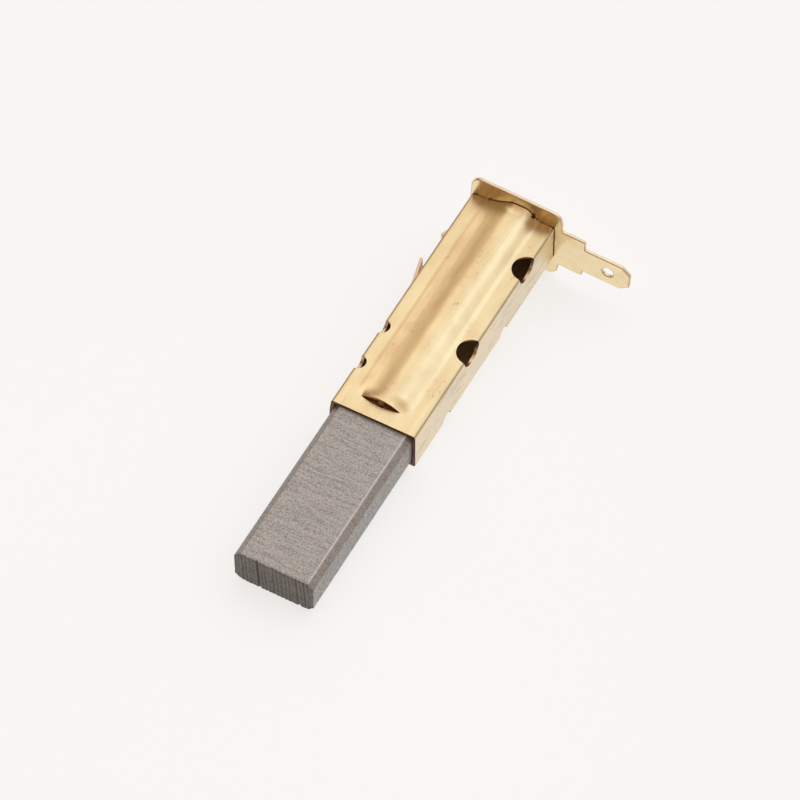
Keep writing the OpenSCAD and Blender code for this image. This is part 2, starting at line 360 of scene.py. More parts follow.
# %% [markdown]
# The sheet's colour is built up in order: bright metal, brown film, pale drawn lines,
# rubbed patches, specks, scratches, scuffs and tarnish. The bumps go from the broad
# dents to the finest lines.

# %% Sheet metal


def sheet_metal(
    name, bright, film, roughness, lines=0.2, marks=0.3, film_amount=0.6, nicks=0.25, dent_mm=0.05
):
    """Rolled sheet with a thin film: bright and film are its two colours.

    One mesh attribute darkens the sheet where it is 1: along the folds, and as painted
    shade beside the plate and around the notch. One called rub makes it rubbed pale where it is 1.
    """
    material, tree, shader = new_material(name)
    drawn = effect(tree, "lines", Fineness=1.0)
    worn = effect(tree, "marks", Blotch_size=330.0, Speck_size=1700.0)
    scratched = effect(tree, "nicks", Size=420.0, Amount=nicks)
    dark = tuple(v * share for v, share in zip(film, (0.38, 0.28, 0.24)))
    rub = mesh_value(tree, "rub")
    rubbed = calc(tree, "MULTIPLY", rub, spread(tree, worn["Blotch"], 0.0, 1.0, 0.3, 0.75))
    scratch = calc(tree, "MULTIPLY", scratched["Mask"], calc(tree, "MULTIPLY_ADD", rub, 0.85, 0.1))
    scuffed = effect(tree, "scuffs", Width=4500.0, Length=320.0)
    scuff = calc(tree, "MULTIPLY", scuffed["Mask"], rub)
    colour = covered(tree, bright, worn["Blotch"], film_amount, film)
    streak = spread(tree, drawn["Height"], 0.5, 0.68, 0.0, 0.5)
    colour = blend_colour(tree, streak, colour, tuple(min(1.0, 1.05 * v + 0.08) for v in bright))
    pale = tuple(v * share for v, share in zip(bright, (0.95, 1.08, 1.66)))
    colour = blend_colour(tree, rubbed, colour, pale)
    colour = covered(tree, colour, worn["Speck"], 0.5, dark)
    colour = covered(tree, colour, scratch, 0.7, dark)
    colour = covered(tree, colour, scuff, 0.6, tuple(0.5 * v for v in film))
    # darker along the folds, and painted shade beside the plate and around the notch
    colour = covered(tree, colour, mesh_value(tree, "fold_dark_and_painted_shade"), 0.75, tuple(0.55 * v for v in film))
    tree.links.new(colour, shader.inputs["Base Color"])
    rubbed_dull = calc(tree, "MULTIPLY_ADD", rub, 0.1, roughness)
    blurred = calc(tree, "MULTIPLY_ADD", worn["Blotch"], 0.08, rubbed_dull)
    tree.links.new(calc(tree, "MULTIPLY_ADD", drawn["Height"], 0.06, blurred), shader.inputs["Roughness"])
    shader.inputs["Metallic"].default_value = 1.0
    marked = bump(tree, worn["Dent"], 1.0, dent_mm)
    marked = bump(tree, worn["Height"], marks, 0.02, marked)
    marked = bump(tree, calc(tree, "MULTIPLY", scratch, -1.0), 0.6, 0.03, marked)
    marked = bump(tree, calc(tree, "MULTIPLY", scuff, -1.0), 0.8, 0.05, marked)
    tree.links.new(bump(tree, drawn["Height"], lines, 0.006, marked), shader.inputs["Normal"])
    return material


# %% [markdown]
# The carbon is no metal, but graphite has a dull metallic shine, so it is mixed half and
# half. The copper is bare and has begun to brown in places, which one blotchy mask shows.

# %% Carbon and copper


def pressed_carbon(name, dark, light, roughness, metallic):
    """Graphite and carbon powder, pressed, baked and sawn: matt, with a dull grey shine.

    One mesh attribute paints highlight where it is 1, one called groove paints shade where it
    is 1, and one called smear puts copper powder on it.
    """
    material, tree, shader = new_material(name)
    grain = effect(tree, "grain", Size=4200.0, Streak=3200.0)
    coarse = effect(tree, "marks", Blotch_size=420.0, Speck_size=2300.0)
    colour = blend_colour(tree, grain["Grain"], dark, light)
    brighter = tuple(min(1.0, 1.25 * v) for v in light)
    colour = covered(tree, colour, grain["Streak"], 0.35, brighter)
    colour = covered(tree, colour, coarse["Speck"], 0.7, (0.06, 0.055, 0.05))
    # painted highlight on the upper chamfers' edges and on the rib fronts beside the grooves
    colour = covered(tree, colour, mesh_value(tree, "painted_highlight"), 0.8, tuple(1.7 * v for v in light))
    colour = blend_colour(tree, mesh_value(tree, "smear"), colour, (0.60, 0.38, 0.19))
    # painted shade in the grooves and along the end's borders
    colour = covered(tree, colour, mesh_value(tree, "groove"), 0.8, (0.05, 0.045, 0.045))
    tree.links.new(colour, shader.inputs["Base Color"])
    tree.links.new(
        spread(tree, grain["Grain"], 0.0, 1.0, roughness + 0.12, roughness - 0.08), shader.inputs["Roughness"]
    )
    shader.inputs["Metallic"].default_value = metallic
    tree.links.new(bump(tree, grain["Height"], 0.8, 0.035), shader.inputs["Normal"])
    return material


def copper(name, bright, dull, roughness):
    """Bare copper that has begun to brown."""
    material, tree, shader = new_material(name)
    worn = effect(tree, "marks", Blotch_size=900.0, Speck_size=3500.0)
    tree.links.new(blend_colour(tree, worn["Blotch"], bright, dull), shader.inputs["Base Color"])
    tree.links.new(calc(tree, "MULTIPLY_ADD", worn["Blotch"], 0.2, roughness), shader.inputs["Roughness"])
    shader.inputs["Metallic"].default_value = 1.0
    tree.links.new(bump(tree, worn["Height"], 0.4, 0.02), shader.inputs["Normal"])
    return material


# %% [markdown]
# With the recipes ready, each finish of the brush is one line: its two colours, its
# roughness and what sets it apart.

# %% The brush's finishes
BRASS = (0.92, 0.76, 0.45)
BRASS_FILM = (0.80, 0.60, 0.33)
finish = {
    "outside": sheet_metal("rolled brass", BRASS, BRASS_FILM, 0.27),
    "inside": sheet_metal("dull brass inside", (0.94, 0.76, 0.50), (0.72, 0.52, 0.31), 0.5),
    "edge": sheet_metal("sheared brass edge", (0.80, 0.56, 0.31), (0.48, 0.30, 0.16), 0.14, lines=0.4),
    # the mouth's brown sheared edge, darkened much further as painted shade of the gap over the carbon
    "mouth": sheet_metal("mouth edge with painted shade", (0.20, 0.11, 0.07), (0.12, 0.07, 0.045), 0.4, lines=0.4),
    "plate": sheet_metal(
        "stamped brass", (0.95, 0.80, 0.50), BRASS_FILM, 0.2, film_amount=0.35, dent_mm=0.3
    ),
    # the plate's rounded band, painted brown as a dark reflection
    "bevel": sheet_metal("stamping edge with painted dark reflection", (0.62, 0.40, 0.20), (0.40, 0.24, 0.12), 0.3),
    "rim": sheet_metal("stamped brass rim", (0.93, 0.78, 0.56), (0.74, 0.54, 0.34), 0.3, film_amount=0.4),
    "carbon": pressed_carbon("pressed carbon", (0.265, 0.255, 0.243), (0.54, 0.522, 0.499), 0.42, 0.5),
    # a darker copy of the carbon for the contact end: the lower brightness is painted shade
    "carbon end with painted shade": pressed_carbon("contact end with painted shade", (0.13, 0.118, 0.11), (0.28, 0.262, 0.245), 0.5, 0.3),
    "chamfer": pressed_carbon("ground chamfer", (0.26, 0.245, 0.23), (0.46, 0.435, 0.41), 0.4, 0.45),
    "braid": copper("copper strands", (0.80, 0.42, 0.26), (0.42, 0.20, 0.12), 0.3),
    "powder": copper("pressed copper powder", (0.50, 0.26, 0.17), (0.25, 0.13, 0.09), 0.55),
    "spring": sheet_metal(
        "drawn spring wire", (0.80, 0.77, 0.73), (0.50, 0.46, 0.42), 0.3, lines=0.1, film_amount=0.5
    ),
}
print("finishes:", [material.name for material in finish.values()])

# %% [markdown]
# ## Pieces from plain meshes
# Each piece is a list of points and faces in millimetres. One helper turns it into an
# object in metres, and another freezes an object's modifiers, or a geometry tree, into a
# plain mesh with sharp edges where its faces meet at an angle.

# %% Mesh helpers


def mesh_piece(name, points, faces, materials):
    """An object whose place is in its points, which are in millimetres."""
    mesh = bpy.data.meshes.new(name)
    mesh.from_pydata([tuple(v * MM for v in point) for point in points], [], faces)
    mesh.validate()
    for material in materials:
        mesh.materials.append(material)
    piece = bpy.data.objects.new(name, mesh)
    bpy.context.scene.collection.objects.link(piece)
    return piece


def add_values(piece, name, values):
    """Stores a number for each point, which the finishes read by that name."""
    piece.data.attributes.new(name, "FLOAT", "POINT").data.foreach_set("value", values)


def freeze(piece, sharp_degrees=40.0):
    """The piece with its modifiers applied, shaded smooth up to the given angle."""
    bpy.context.view_layer.update()
    shown = piece.evaluated_get(bpy.context.evaluated_depsgraph_get())
    mesh = bpy.data.meshes.new_from_object(shown)
    old = piece.data
    name = piece.name
    if piece.type == "MESH":
        piece.modifiers.clear()
        piece.data = mesh
    else:
        bpy.data.objects.remove(piece)
        piece = bpy.data.objects.new(name, mesh)
        bpy.context.scene.collection.objects.link(piece)
    if old.users == 0 and isinstance(old, bpy.types.Mesh):
        bpy.data.meshes.remove(old)
    mesh.name = name
    mesh.shade_smooth()
    mesh.set_sharp_from_angle(angle=math.radians(sharp_degrees))
    print(f"{name}: {len(mesh.vertices)} points, {sum(len(p.vertices) - 2 for p in mesh.polygons)} triangles")
    return piece


# %% [markdown]
# ## The folded holder
# The real holder is stamped flat and then folded, so it's made that way here. First comes
# the flat blank: an outline with ears, round holes on the fold lines, a lens-shaped slit,
# and two U-shaped cuts that free the clip barbs. A Delaunay triangulation fills the blank
# with small faces that keep every cut edge. Then each point is folded into place, and a
# Solidify modifier gives the sheet its thickness. Half a hole on a fold line lands on
# each face, as it does in the press.

# %% Where the blank folds
TOP_FLAT = HALF_W - FOLD_R
ARC = FOLD_R * math.pi / 2
SIDE = 2 * (HALF_H - FOLD_R)
SIDE_START = TOP_FLAT + ARC
LOW_FOLD = SIDE_START + SIDE
BOTTOM_START = LOW_FOLD + ARC
BLANK_EDGE = BOTTOM_START + TOP_FLAT - SEAM / 2
HOLE_LINE = TOP_FLAT + ARC / 2
LOW_HOLE_LINE = LOW_FOLD + ARC / 2


def fold(across):
    """Place and outward direction, in the holder's section, of a point across the blank."""
    side = 1.0 if across >= 0 else -1.0
    reach = abs(across)
    if reach <= TOP_FLAT:
        x, z, turn = reach, HALF_H, 0.0
    elif reach <= SIDE_START:
        turn = (reach - TOP_FLAT) / FOLD_R
        x, z = TOP_FLAT + FOLD_R * math.sin(turn), HALF_H - FOLD_R + FOLD_R * math.cos(turn)
    elif reach <= LOW_FOLD:
        turn = math.pi / 2
        x, z = HALF_W, HALF_H - FOLD_R - (reach - SIDE_START)
    elif reach <= BOTTOM_START:
        turn = math.pi / 2 + (reach - LOW_FOLD) / FOLD_R
        x, z = TOP_FLAT + FOLD_R * math.sin(turn), -HALF_H + FOLD_R + FOLD_R * math.cos(turn)
    else:
        turn = math.pi
        x, z = TOP_FLAT - (reach - BOTTOM_START), -HALF_H
    return Vector((side * x, 0.0, z)), Vector((side * math.sin(turn), 0.0, math.cos(turn)))


print(f"blank {2 * BLANK_EDGE:.1f} x {-MOUTH_Y:.1f} mm")

# %% [markdown]
# The channel for the copper braid is pressed up out of the top. It is a low round arch at
# the slit, gets a little higher towards the plate, and turns up where it meets it. Its
# left side climbs in small steps with a steeper one near the middle, and its right side
# falls in one slow curve. Smooth functions give that form, and they keep its foot lines
# soft. The slopes are what shows: bright metal is light or dark by where it points.

# %% The raised channel
CHANNEL_FRONT_H = 1.05
CHANNEL_BACK_H = CHANNEL_REAR_H - 0.65
SLIT_LEFT, SLIT_RIGHT = -3.15, 2.7
ARCH_LENGTH = 1.8  # over which the round arch at the slit turns into the channel's own form
LEFT_STEPS = ((0.10, -4.5, -3.7), (0.22, -4.2, -2.0), (0.68, -2.7, 0.4))  # share of the height, from, to
REAR_SPREAD = 0.25  # how much further left the last step starts at the plate
REAR_FLARE = 0.45  # how much the channel's crest turns up in the last of its length
FLARE_LENGTH = 1.5
RIGHT_TOP, RIGHT_FOOT = 0.6, 4.25
REAR_TIGHTEN = (0.6, 0.05)  # how much nearer the right side's top and foot are at the plate
FOOT_SOFTNESS = 0.10


def smooth_step(value, low, high):
    """0 at low, 1 at high, with a soft way between; low may be the higher one."""
    share = min(1.0, max(0.0, (value - low) / (high - low)))
    return share * share * (3 - 2 * share)


def soft_floor(value):
    """The value where it is positive, with a soft turn to zero."""
    return (value + math.sqrt(value * value + FOOT_SOFTNESS**2)) / 2


def channel_lift(x, y):
    """How far the sheet is pressed up at a point of the top face."""
    share = max(0.0, (y - CHANNEL_Y) / -CHANNEL_Y)
    height = CHANNEL_FRONT_H + (CHANNEL_BACK_H - CHANNEL_FRONT_H) * share
    height += REAR_FLARE * max(0.0, 1 + y / FLARE_LENGTH) ** 2
    middle, half = (SLIT_LEFT + SLIT_RIGHT) / 2, (SLIT_RIGHT - SLIT_LEFT) / 2
    arch = soft_floor(1 - ((x - middle) / half) ** 2)
    (part, low, high) = LEFT_STEPS[-1]
    left = part * smooth_step(x, low - REAR_SPREAD * share, high)
    left += sum(part * smooth_step(x, low, high) for part, low, high in LEFT_STEPS[:-1])
    top, foot = RIGHT_TOP + REAR_TIGHTEN[0] * share, RIGHT_FOOT - REAR_TIGHTEN[1] * share
    right = 1 - smooth_step(x, top, foot) ** 2
    turned = smooth_step(y, CHANNEL_Y, CHANNEL_Y + ARCH_LENGTH)
    return height * (arch + (left * right - arch) * turned)


for y in (CHANNEL_Y, CHANNEL_Y / 2, 0.0):
    print(f"channel {max(channel_lift(x / 10, y) for x in range(-50, 51)):.2f} mm high at y {y:.1f} mm")

# %% [markdown]
# Every cut in the blank is a closed loop of points, with a test that says which faces it
# removes. The holes and the barbs repeat, so functions make them.

# %% Sizes of the cuts
LARGE_HOLE_R = 2.05
SMALL_HOLE_R = 1.15
LARGE_HOLES = (15.65, 31.3)  # distances from the mouth
LEFT_HOLES = (7.2, 13.8)
LOW_HOLES = (8.8, 24.8)
BARB_HALF = 1.2
BARB_GAP = 0.12
BARBS = (  # root, tip, angle of each barb on the left side
    (MOUTH_Y + 20.3, MOUTH_Y + 27.8, math.radians(14)),
    (-3.7, -6.9, math.radians(24)),
)
SLIT_BOW = 0.45
EAR_X = 4.6
EAR_HALF = 0.8
END_Y = -0.11  # the sheet stops just short of the plate, and only the ears reach it
SIDE_END_Y = -0.24  # the side walls stop a little sooner
NOTCH = (2.95, 3.35, 0.42)  # left, right and depth of the relief cut beside the right ear
BARB_LINE = -(SIDE_START + SIDE / 2)  # middle of the left side, across the blank
holes = [(HOLE_LINE, MOUTH_Y + y, LARGE_HOLE_R) for y in LARGE_HOLES]
holes += [(-HOLE_LINE, MOUTH_Y + y, SMALL_HOLE_R) for y in LEFT_HOLES]
holes += [(LOW_HOLE_LINE, MOUTH_Y + y, SMALL_HOLE_R) for y in LOW_HOLES]
print(f"{len(holes)} holes on the fold lines, {len(BARBS)} barbs")

# %% [markdown]
# A circle is stepped round in equal turns. The other cuts have corners, so a second
# function walks from corner to corner in short steps, because the sheet may bend between
# them.

# %% Shapes of the cuts


def circle_loop(across, along, radius, count=72):
    turns = [2 * math.pi * n / count for n in range(count)]
    return [(across + radius * math.cos(t), along + radius * math.sin(t)) for t in turns]


def path_loop(corners, step=0.2):
    """A closed loop through the corners, with points at most a step apart."""
    loop = []
    for a, b in zip(corners, corners[1:] + corners[:1]):
        count = max(1, math.ceil(math.dist(a, b) / step))
        loop += [(a[0] + (b[0] - a[0]) * n / count, a[1] + (b[1] - a[1]) * n / count) for n in range(count)]
    return loop


def barb_cut(root, tip):
    """The U-shaped cut that frees a barb."""
    way = 1 if tip > root else -1
    inner, outer = BARB_HALF, BARB_HALF + BARB_GAP
    shape = [(-outer, root), (-outer, tip + way * BARB_GAP), (outer, tip + way * BARB_GAP), (outer, root)]
    shape += [(inner, root), (inner, tip), (-inner, tip), (-inner, root)]
    return path_loop([(BARB_LINE + a, y) for a, y in shape])


def in_barb_cut(across, along, root, tip):
    way = 1 if tip > root else -1
    off = abs(across - BARB_LINE)
    reach = way * (along - root)
    length = abs(tip - root)
    in_window = off < BARB_HALF + BARB_GAP and 0 < reach < length + BARB_GAP
    return in_window and not (off < BARB_HALF and reach < length)


def slit_bow(x):
    """How far the slit bites into the flat strip."""
    middle = (SLIT_LEFT + SLIT_RIGHT) / 2
    half = (SLIT_RIGHT - SLIT_LEFT) / 2
    return SLIT_BOW * max(0.0, 1 - ((x - middle) / half) ** 2)


print(f"a barb's cut is a loop of {len(barb_cut(*BARBS[0][:2]))} points")

# %% [markdown]
# The outline runs round the blank and takes in the ears, the shorter side walls and a
# small relief cut. A second function is its opposite number: it tells for any place
# whether there is metal, which the triangulation needs to drop the faces in the cuts.

# %% Outline of the blank
EAR_SPANS = [(side * EAR_X - EAR_HALF, side * EAR_X + EAR_HALF) for side in (-1, 1)]
LOW_EAR = BOTTOM_START + TOP_FLAT - EAR_X
EAR_SPANS += [(side * LOW_EAR - EAR_HALF, side * LOW_EAR + EAR_HALF) for side in (-1, 1)]
EAR_SPANS.sort()


def outline_corners():
    corners = [(-BLANK_EDGE, MOUTH_Y), (BLANK_EDGE, MOUTH_Y), (BLANK_EDGE, END_Y)]
    for number, (low, high) in enumerate(reversed(EAR_SPANS)):
        corners += [(high, END_Y), (high, EAR_Y), (low, EAR_Y), (low, END_Y)]
        if number in (0, 2):
            far, near = (LOW_FOLD, SIDE_START) if number == 0 else (-SIDE_START, -LOW_FOLD)
            corners += [(far, END_Y), (far, SIDE_END_Y), (near, SIDE_END_Y), (near, END_Y)]
        if NOTCH[1] < low < TOP_FLAT:
            left, right_end, depth = NOTCH
            corners += [(right_end, END_Y), (right_end, -depth), (left, -depth), (left, END_Y)]
    return corners + [(-BLANK_EDGE, END_Y)]


def slit_loop(count=40):
    xs = [SLIT_LEFT + (SLIT_RIGHT - SLIT_LEFT) * n / count for n in range(count + 1)]
    lower = [(x, CHANNEL_Y - slit_bow(x)) for x in xs]
    upper = [(x, CHANNEL_Y) for x in reversed(xs[1:-1])]
    return lower + upper


def is_kept(across, along):
    """Whether a face with this middle belongs to the sheet."""
    if along > END_Y and not any(low < across < high for low, high in EAR_SPANS):
        return False
    if NOTCH[0] < across < NOTCH[1] and along > -NOTCH[2]:
        return False
    if SIDE_START < abs(across) < LOW_FOLD and along > SIDE_END_Y:
        return False
    if any(math.hypot(across - a, along - y) < r for a, y, r in holes):
        return False
    if any(in_barb_cut(across, along, root, tip) for root, tip, angle in BARBS):
        return False
    in_slit = SLIT_LEFT < across < SLIT_RIGHT
    return not (in_slit and CHANNEL_Y - slit_bow(across) < along < CHANNEL_Y)


OUTLINE_STEP = 0.15
loops = [path_loop(outline_corners(), OUTLINE_STEP), slit_loop()]
loops += [circle_loop(*hole) for hole in holes]
loops += [barb_cut(root, tip) for root, tip, angle in BARBS]
print(f"{len(loops)} loops cut the blank, {len(EAR_SPANS)} ears stand out of it")

# %% [markdown]
# The faces follow a grid, close together where the sheet bends and wide apart where it
# stays flat. Grid points that come too near a cut are left out, so that no face is a
# sliver. The triangulation then joins the grid to the cuts.

# %% Fill the blank with faces
COLUMN_STEPS = (  # up to, step
    (TOP_FLAT, 0.17),
    (SIDE_START, 0.1),
    (LOW_FOLD, 0.4),
    (BOTTOM_START, 0.13),
    (BLANK_EDGE, 0.5),
)
ROW_STEP = 0.3
CUT_CLEARANCE = 0.09
NEARBY = 0.12  # cut points further than this from a row can't be too near its points


def spaced(low, high, step):
    count = max(1, round((high - low) / step))
    return [low + (high - low) * n / count for n in range(count)]


half_columns = []
reached = 0.0
for end, step in COLUMN_STEPS:
    half_columns += spaced(reached, end, step)
    reached = end
columns = sorted([-c for c in half_columns[1:]] + half_columns)
rows = spaced(MOUTH_Y, EAR_Y, ROW_STEP)[1:]
edge_points = np.array([point for loop in loops for point in loop])
flat_points = [tuple(point) for point in edge_points]
edges = []
first = 0
for loop in loops:
    count = len(loop)
    edges += [(first + n, first + (n + 1) % count) for n in range(count)]
    first += count
for along in rows:
    near = edge_points[np.abs(edge_points[:, 1] - along) < NEARBY]
    for across in columns:
        distances = (near[:, 0] - across) ** 2 + (near[:, 1] - along) ** 2
        clear = near.size == 0 or np.min(distances) > CUT_CLEARANCE**2
        if clear and (along < END_Y or is_kept(across, along)):
            flat_points.append((across, along))
cut_flat = delaunay_2d_cdt([Vector(p) for p in flat_points], edges, [], 0, 1e-5)
blank_points = [(p.x, p.y) for p in cut_flat[0]]
blank_faces = [
    face for face in cut_flat[2]
    if is_kept(sum(blank_points[i][0] for i in face) / 3, sum(blank_points[i][1] for i in face) / 3)
]
print(f"blank: {len(blank_points)} points, {len(blank_faces)} faces")

# %% [markdown]
# Folding is one function from the flat blank to the finished shape. It lifts the channel,
# bends the barbs out of the left side, and lets the sheet wander by a few hundredths of a
# millimetre, because a folded sheet is never quite flat and its reflections show that.

# %% Where each point is folded to
BEND_LENGTH = 0.8  # over which a barb turns from the wall to its own angle
LEAN = 0.28  # how far the left side stands open at the mouth
LEAN_LENGTH = 5.0
WANDER = 0.025


def barb_bend(across, along):
    """Outward and lengthwise shift of a point, if it lies on a barb."""
    for root, tip, angle in BARBS:
        way = 1 if tip > root else -1
        reach = way * (along - root)
        if abs(across - BARB_LINE) > BARB_HALF + 1e-4 or not 0 < reach < abs(tip - root) + 1e-4:
            continue
        curved = min(reach, BEND_LENGTH)
        straight = reach - curved
        out = angle * curved**2 / (2 * BEND_LENGTH) + math.sin(angle) * straight
        shorter = (1 - math.cos(angle)) * straight
        return out, -way * shorter
    return 0.0, 0.0


def finished_point(across, along):
    place, outward = fold(across)
    out, shift = barb_bend(across, along)
    place += outward * out
    place.y = along + shift
    if abs(across) < TOP_FLAT and along >= CHANNEL_Y - 1e-6:
        place.z += channel_lift(across, along)
    if -LOW_FOLD < across < -SIDE_START:
        low = (-across - SIDE_START) / SIDE
        place.x -= LEAN * math.sin(math.pi * low) * smooth_step(-(along - MOUTH_Y), -LEAN_LENGTH, 0)
    soft = noise.noise(Vector((place.x * 0.35, along * 0.16, place.z * 0.35)))
    fine = noise.noise(Vector((place.x * 0.9 + 7, along * 0.45, place.z * 0.9)))
    return place + outward * (WANDER * (soft + 0.4 * fine) - WANDER)


for root, tip, angle in BARBS:
    print(f"barb {abs(tip - root):.1f} mm long, bent out {barb_bend(BARB_LINE, tip)[0]:.2f} mm")

# %% [markdown]
# Two functions say how each place of the sheet differs. It is darker brown along the
# folds, has painted shade in patches beside the plate and around the notch, and is rubbed
# on the two side walls.

# %% Where the sheet is darker and where it is rubbed
FOLD_DARK_WIDTH = 0.26
PLATE_SHADE_LENGTH = 1.3


def fold_dark_and_painted_shade_at(across, along):
    """1 on the folds, which are darker brown, with painted shade in patches near the plate and around the
    notch.
    """
    nearest = min(abs(abs(across) - line) for line in (HOLE_LINE, LOW_HOLE_LINE))
    folded = math.exp(-((nearest / FOLD_DARK_WIDTH) ** 2))
    patchy = smooth_step(noise.noise(Vector((across * 1.3, along * 1.1, 2.0))), -0.15, 0.35)
    # painted shade in patches next to the plate
    plate_shade = 0.75 * patchy * math.exp(-((along / PLATE_SHADE_LENGTH) ** 2))
    notch_middle = (NOTCH[0] + NOTCH[1]) / 2
    # painted shade around the notch beside the right ear
    notch_shade = 0.9 * math.exp(-(((across - notch_middle + 0.15) / 0.35) ** 2) - ((along / 0.9) ** 2))
    return max(folded, plate_shade, notch_shade)


def rub_at(across):
    """1 on the side walls, which are rubbed by the motor's brush housing."""
    middle = SIDE_START + SIDE / 2
    return smooth_step(SIDE / 2 + 0.2 - abs(abs(across) - middle), 0.0, 0.3)


fold_dark_and_painted_shade = [fold_dark_and_painted_shade_at(*point) for point in blank_points]
rub = [rub_at(point[0]) for point in blank_points]
print(f"darkened {sum(fold_dark_and_painted_shade) / len(fold_dark_and_painted_shade):.0%}, rubbed {sum(rub) / len(rub):.0%}")

# %% [markdown]
# The folded points become a mesh, and a Solidify modifier gives it the thickness inward.
# It also gives the inner face and the sheared edges their own finishes. The mouth's edge
# is darker than the others, its brown deepened with painted shade, so its faces are
# changed afterwards.

# %% Make the holder
MOUTH_BAND = 0.05
holder = mesh_piece(
    "folded_holder",
    [finished_point(*point) for point in blank_points],
    blank_faces,
    [finish["outside"], finish["inside"], finish["edge"], finish["mouth"]],
)
add_values(holder, "fold_dark_and_painted_shade", fold_dark_and_painted_shade)
add_values(holder, "rub", rub)
thickness = holder.modifiers.new("thickness", "SOLIDIFY")
thickness.thickness = SHEET * MM
thickness.offset = -1.0
thickness.use_even_offset = True
thickness.material_offset = 1
thickness.material_offset_rim = 2
holder = freeze(holder)
# the mouth's edge gets the finish with painted shade
for face in holder.data.polygons:
    if face.material_index == 2 and face.center.y < (MOUTH_Y + MOUTH_BAND) * MM:
        face.material_index = 3
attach(holder, "holder")
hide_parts("holder_tube")

# %% [markdown]
# ## The end plate
# The plate and its push-on blade are one stamping. A flat curve is the quickest way to a
# stamped outline with holes: it fills itself, and its bevel rounds the sheared edges by
# an eighth of a millimetre. The rounded band is browner than the faces, as a painted dark
# reflection, so it has a finish of its own. The blade's outline has a shoulder where the
# receptacle stops, and a lead-in at the tip.

# %% Outline of the stamping
PLATE_TURN = math.radians(3)
PLATE_LEFT = -HALF_W - 0.35
PLATE_RIGHT = HALF_W + 0.9
PLATE_HALF_H = HALF_H + 3.2
PLATE_R = 1.7
ROOT_L = 3.65
ROOT_HALF = 3.75
ROOT_DROP = 0.3
ROOT_R = 0.5
BLADE_L = 7.05
BLADE_HALF = 2.375
BLADE_DROP = 0.62
BLADE_LEAD = (1.4, 1.15)
DETENT = (3.35, 0.85)  # distance from the tip, and radius
EDGE_ROUND = 0.13
SHOULDER_X = PLATE_RIGHT + ROOT_L
TIP_X = SHOULDER_X + BLADE_L


def rounded_path(corners, radii, steps=8):
    """A closed outline whose corners are arcs of the given radii."""
    path = []
    for n, (corner, radius) in enumerate(zip(corners, radii)):
        here = Vector(corner)
        before = (Vector(corners[n - 1]) - here).normalized()
        after = (Vector(corners[(n + 1) % len(corners)]) - here).normalized()
        if radius == 0:
            path.append(here)
            continue
        half_angle = before.angle(after) / 2
        start, end = before * radius / math.tan(half_angle), after * radius / math.tan(half_angle)
        centre = (before + after).normalized() * radius / math.sin(half_angle)
        for k in range(steps + 1):
            arm = (start - centre).normalized().slerp((end - centre).normalized(), k / steps)
            path.append(here + centre + arm * radius)
    return path


lead_l, lead_h = BLADE_LEAD
outline = [
    ((PLATE_LEFT, -PLATE_HALF_H), PLATE_R), ((PLATE_RIGHT, -PLATE_HALF_H), PLATE_R),
    ((PLATE_RIGHT, -ROOT_HALF - ROOT_DROP), 0.3), ((SHOULDER_X, -ROOT_HALF - ROOT_DROP), ROOT_R),
    ((SHOULDER_X, -BLADE_HALF - BLADE_DROP), 0.12), ((TIP_X - lead_l, -BLADE_HALF - BLADE_DROP), 0.3),
    ((TIP_X, lead_h - BLADE_HALF - BLADE_DROP), 0.3), ((TIP_X, BLADE_HALF - lead_h - BLADE_DROP), 0.3),
    ((TIP_X - lead_l, BLADE_HALF - BLADE_DROP), 0.3), ((SHOULDER_X, BLADE_HALF - BLADE_DROP), 0.12),
    ((SHOULDER_X, ROOT_HALF - ROOT_DROP), ROOT_R), ((PLATE_RIGHT, ROOT_HALF - ROOT_DROP), 0.3),
    ((PLATE_RIGHT, PLATE_HALF_H), PLATE_R), ((PLATE_LEFT, PLATE_HALF_H), PLATE_R),
]
stamping = [rounded_path([corner for corner, radius in outline], [radius for corner, radius in outline])]
stamping.append([Vector(p) for p in circle_loop(TIP_X - DETENT[0], -BLADE_DROP, DETENT[1], 40)])
EAR_SLOT = 0.06
for side in (-1, 1):
    for level in (-1, 1):
        middle = Vector((side * EAR_X, level * (HALF_H - SHEET / 2)))
        half = Vector((EAR_HALF + EAR_SLOT, SHEET / 2 + EAR_SLOT))
        slot = [middle + Vector((half.x * a, half.y * b)) for a, b in ((-1, -1), (1, -1), (1, 1), (-1, 1))]
        turn_back = Matrix.Rotation(PLATE_TURN, 2)
        stamping.append([turn_back @ corner for corner in slot])
print(f"stamping: {len(stamping)} outlines")

# %% [markdown]
# The curve is drawn flat and stood up once it is a mesh. What each face points at tells
# whether it belongs to the rolled faces, the sheared rim or the rounded band between.

# %% Make the stamping
FACE_TILT, BAND_TILT = 0.98, 0.45  # least share of Y in a normal, on the faces and on the band


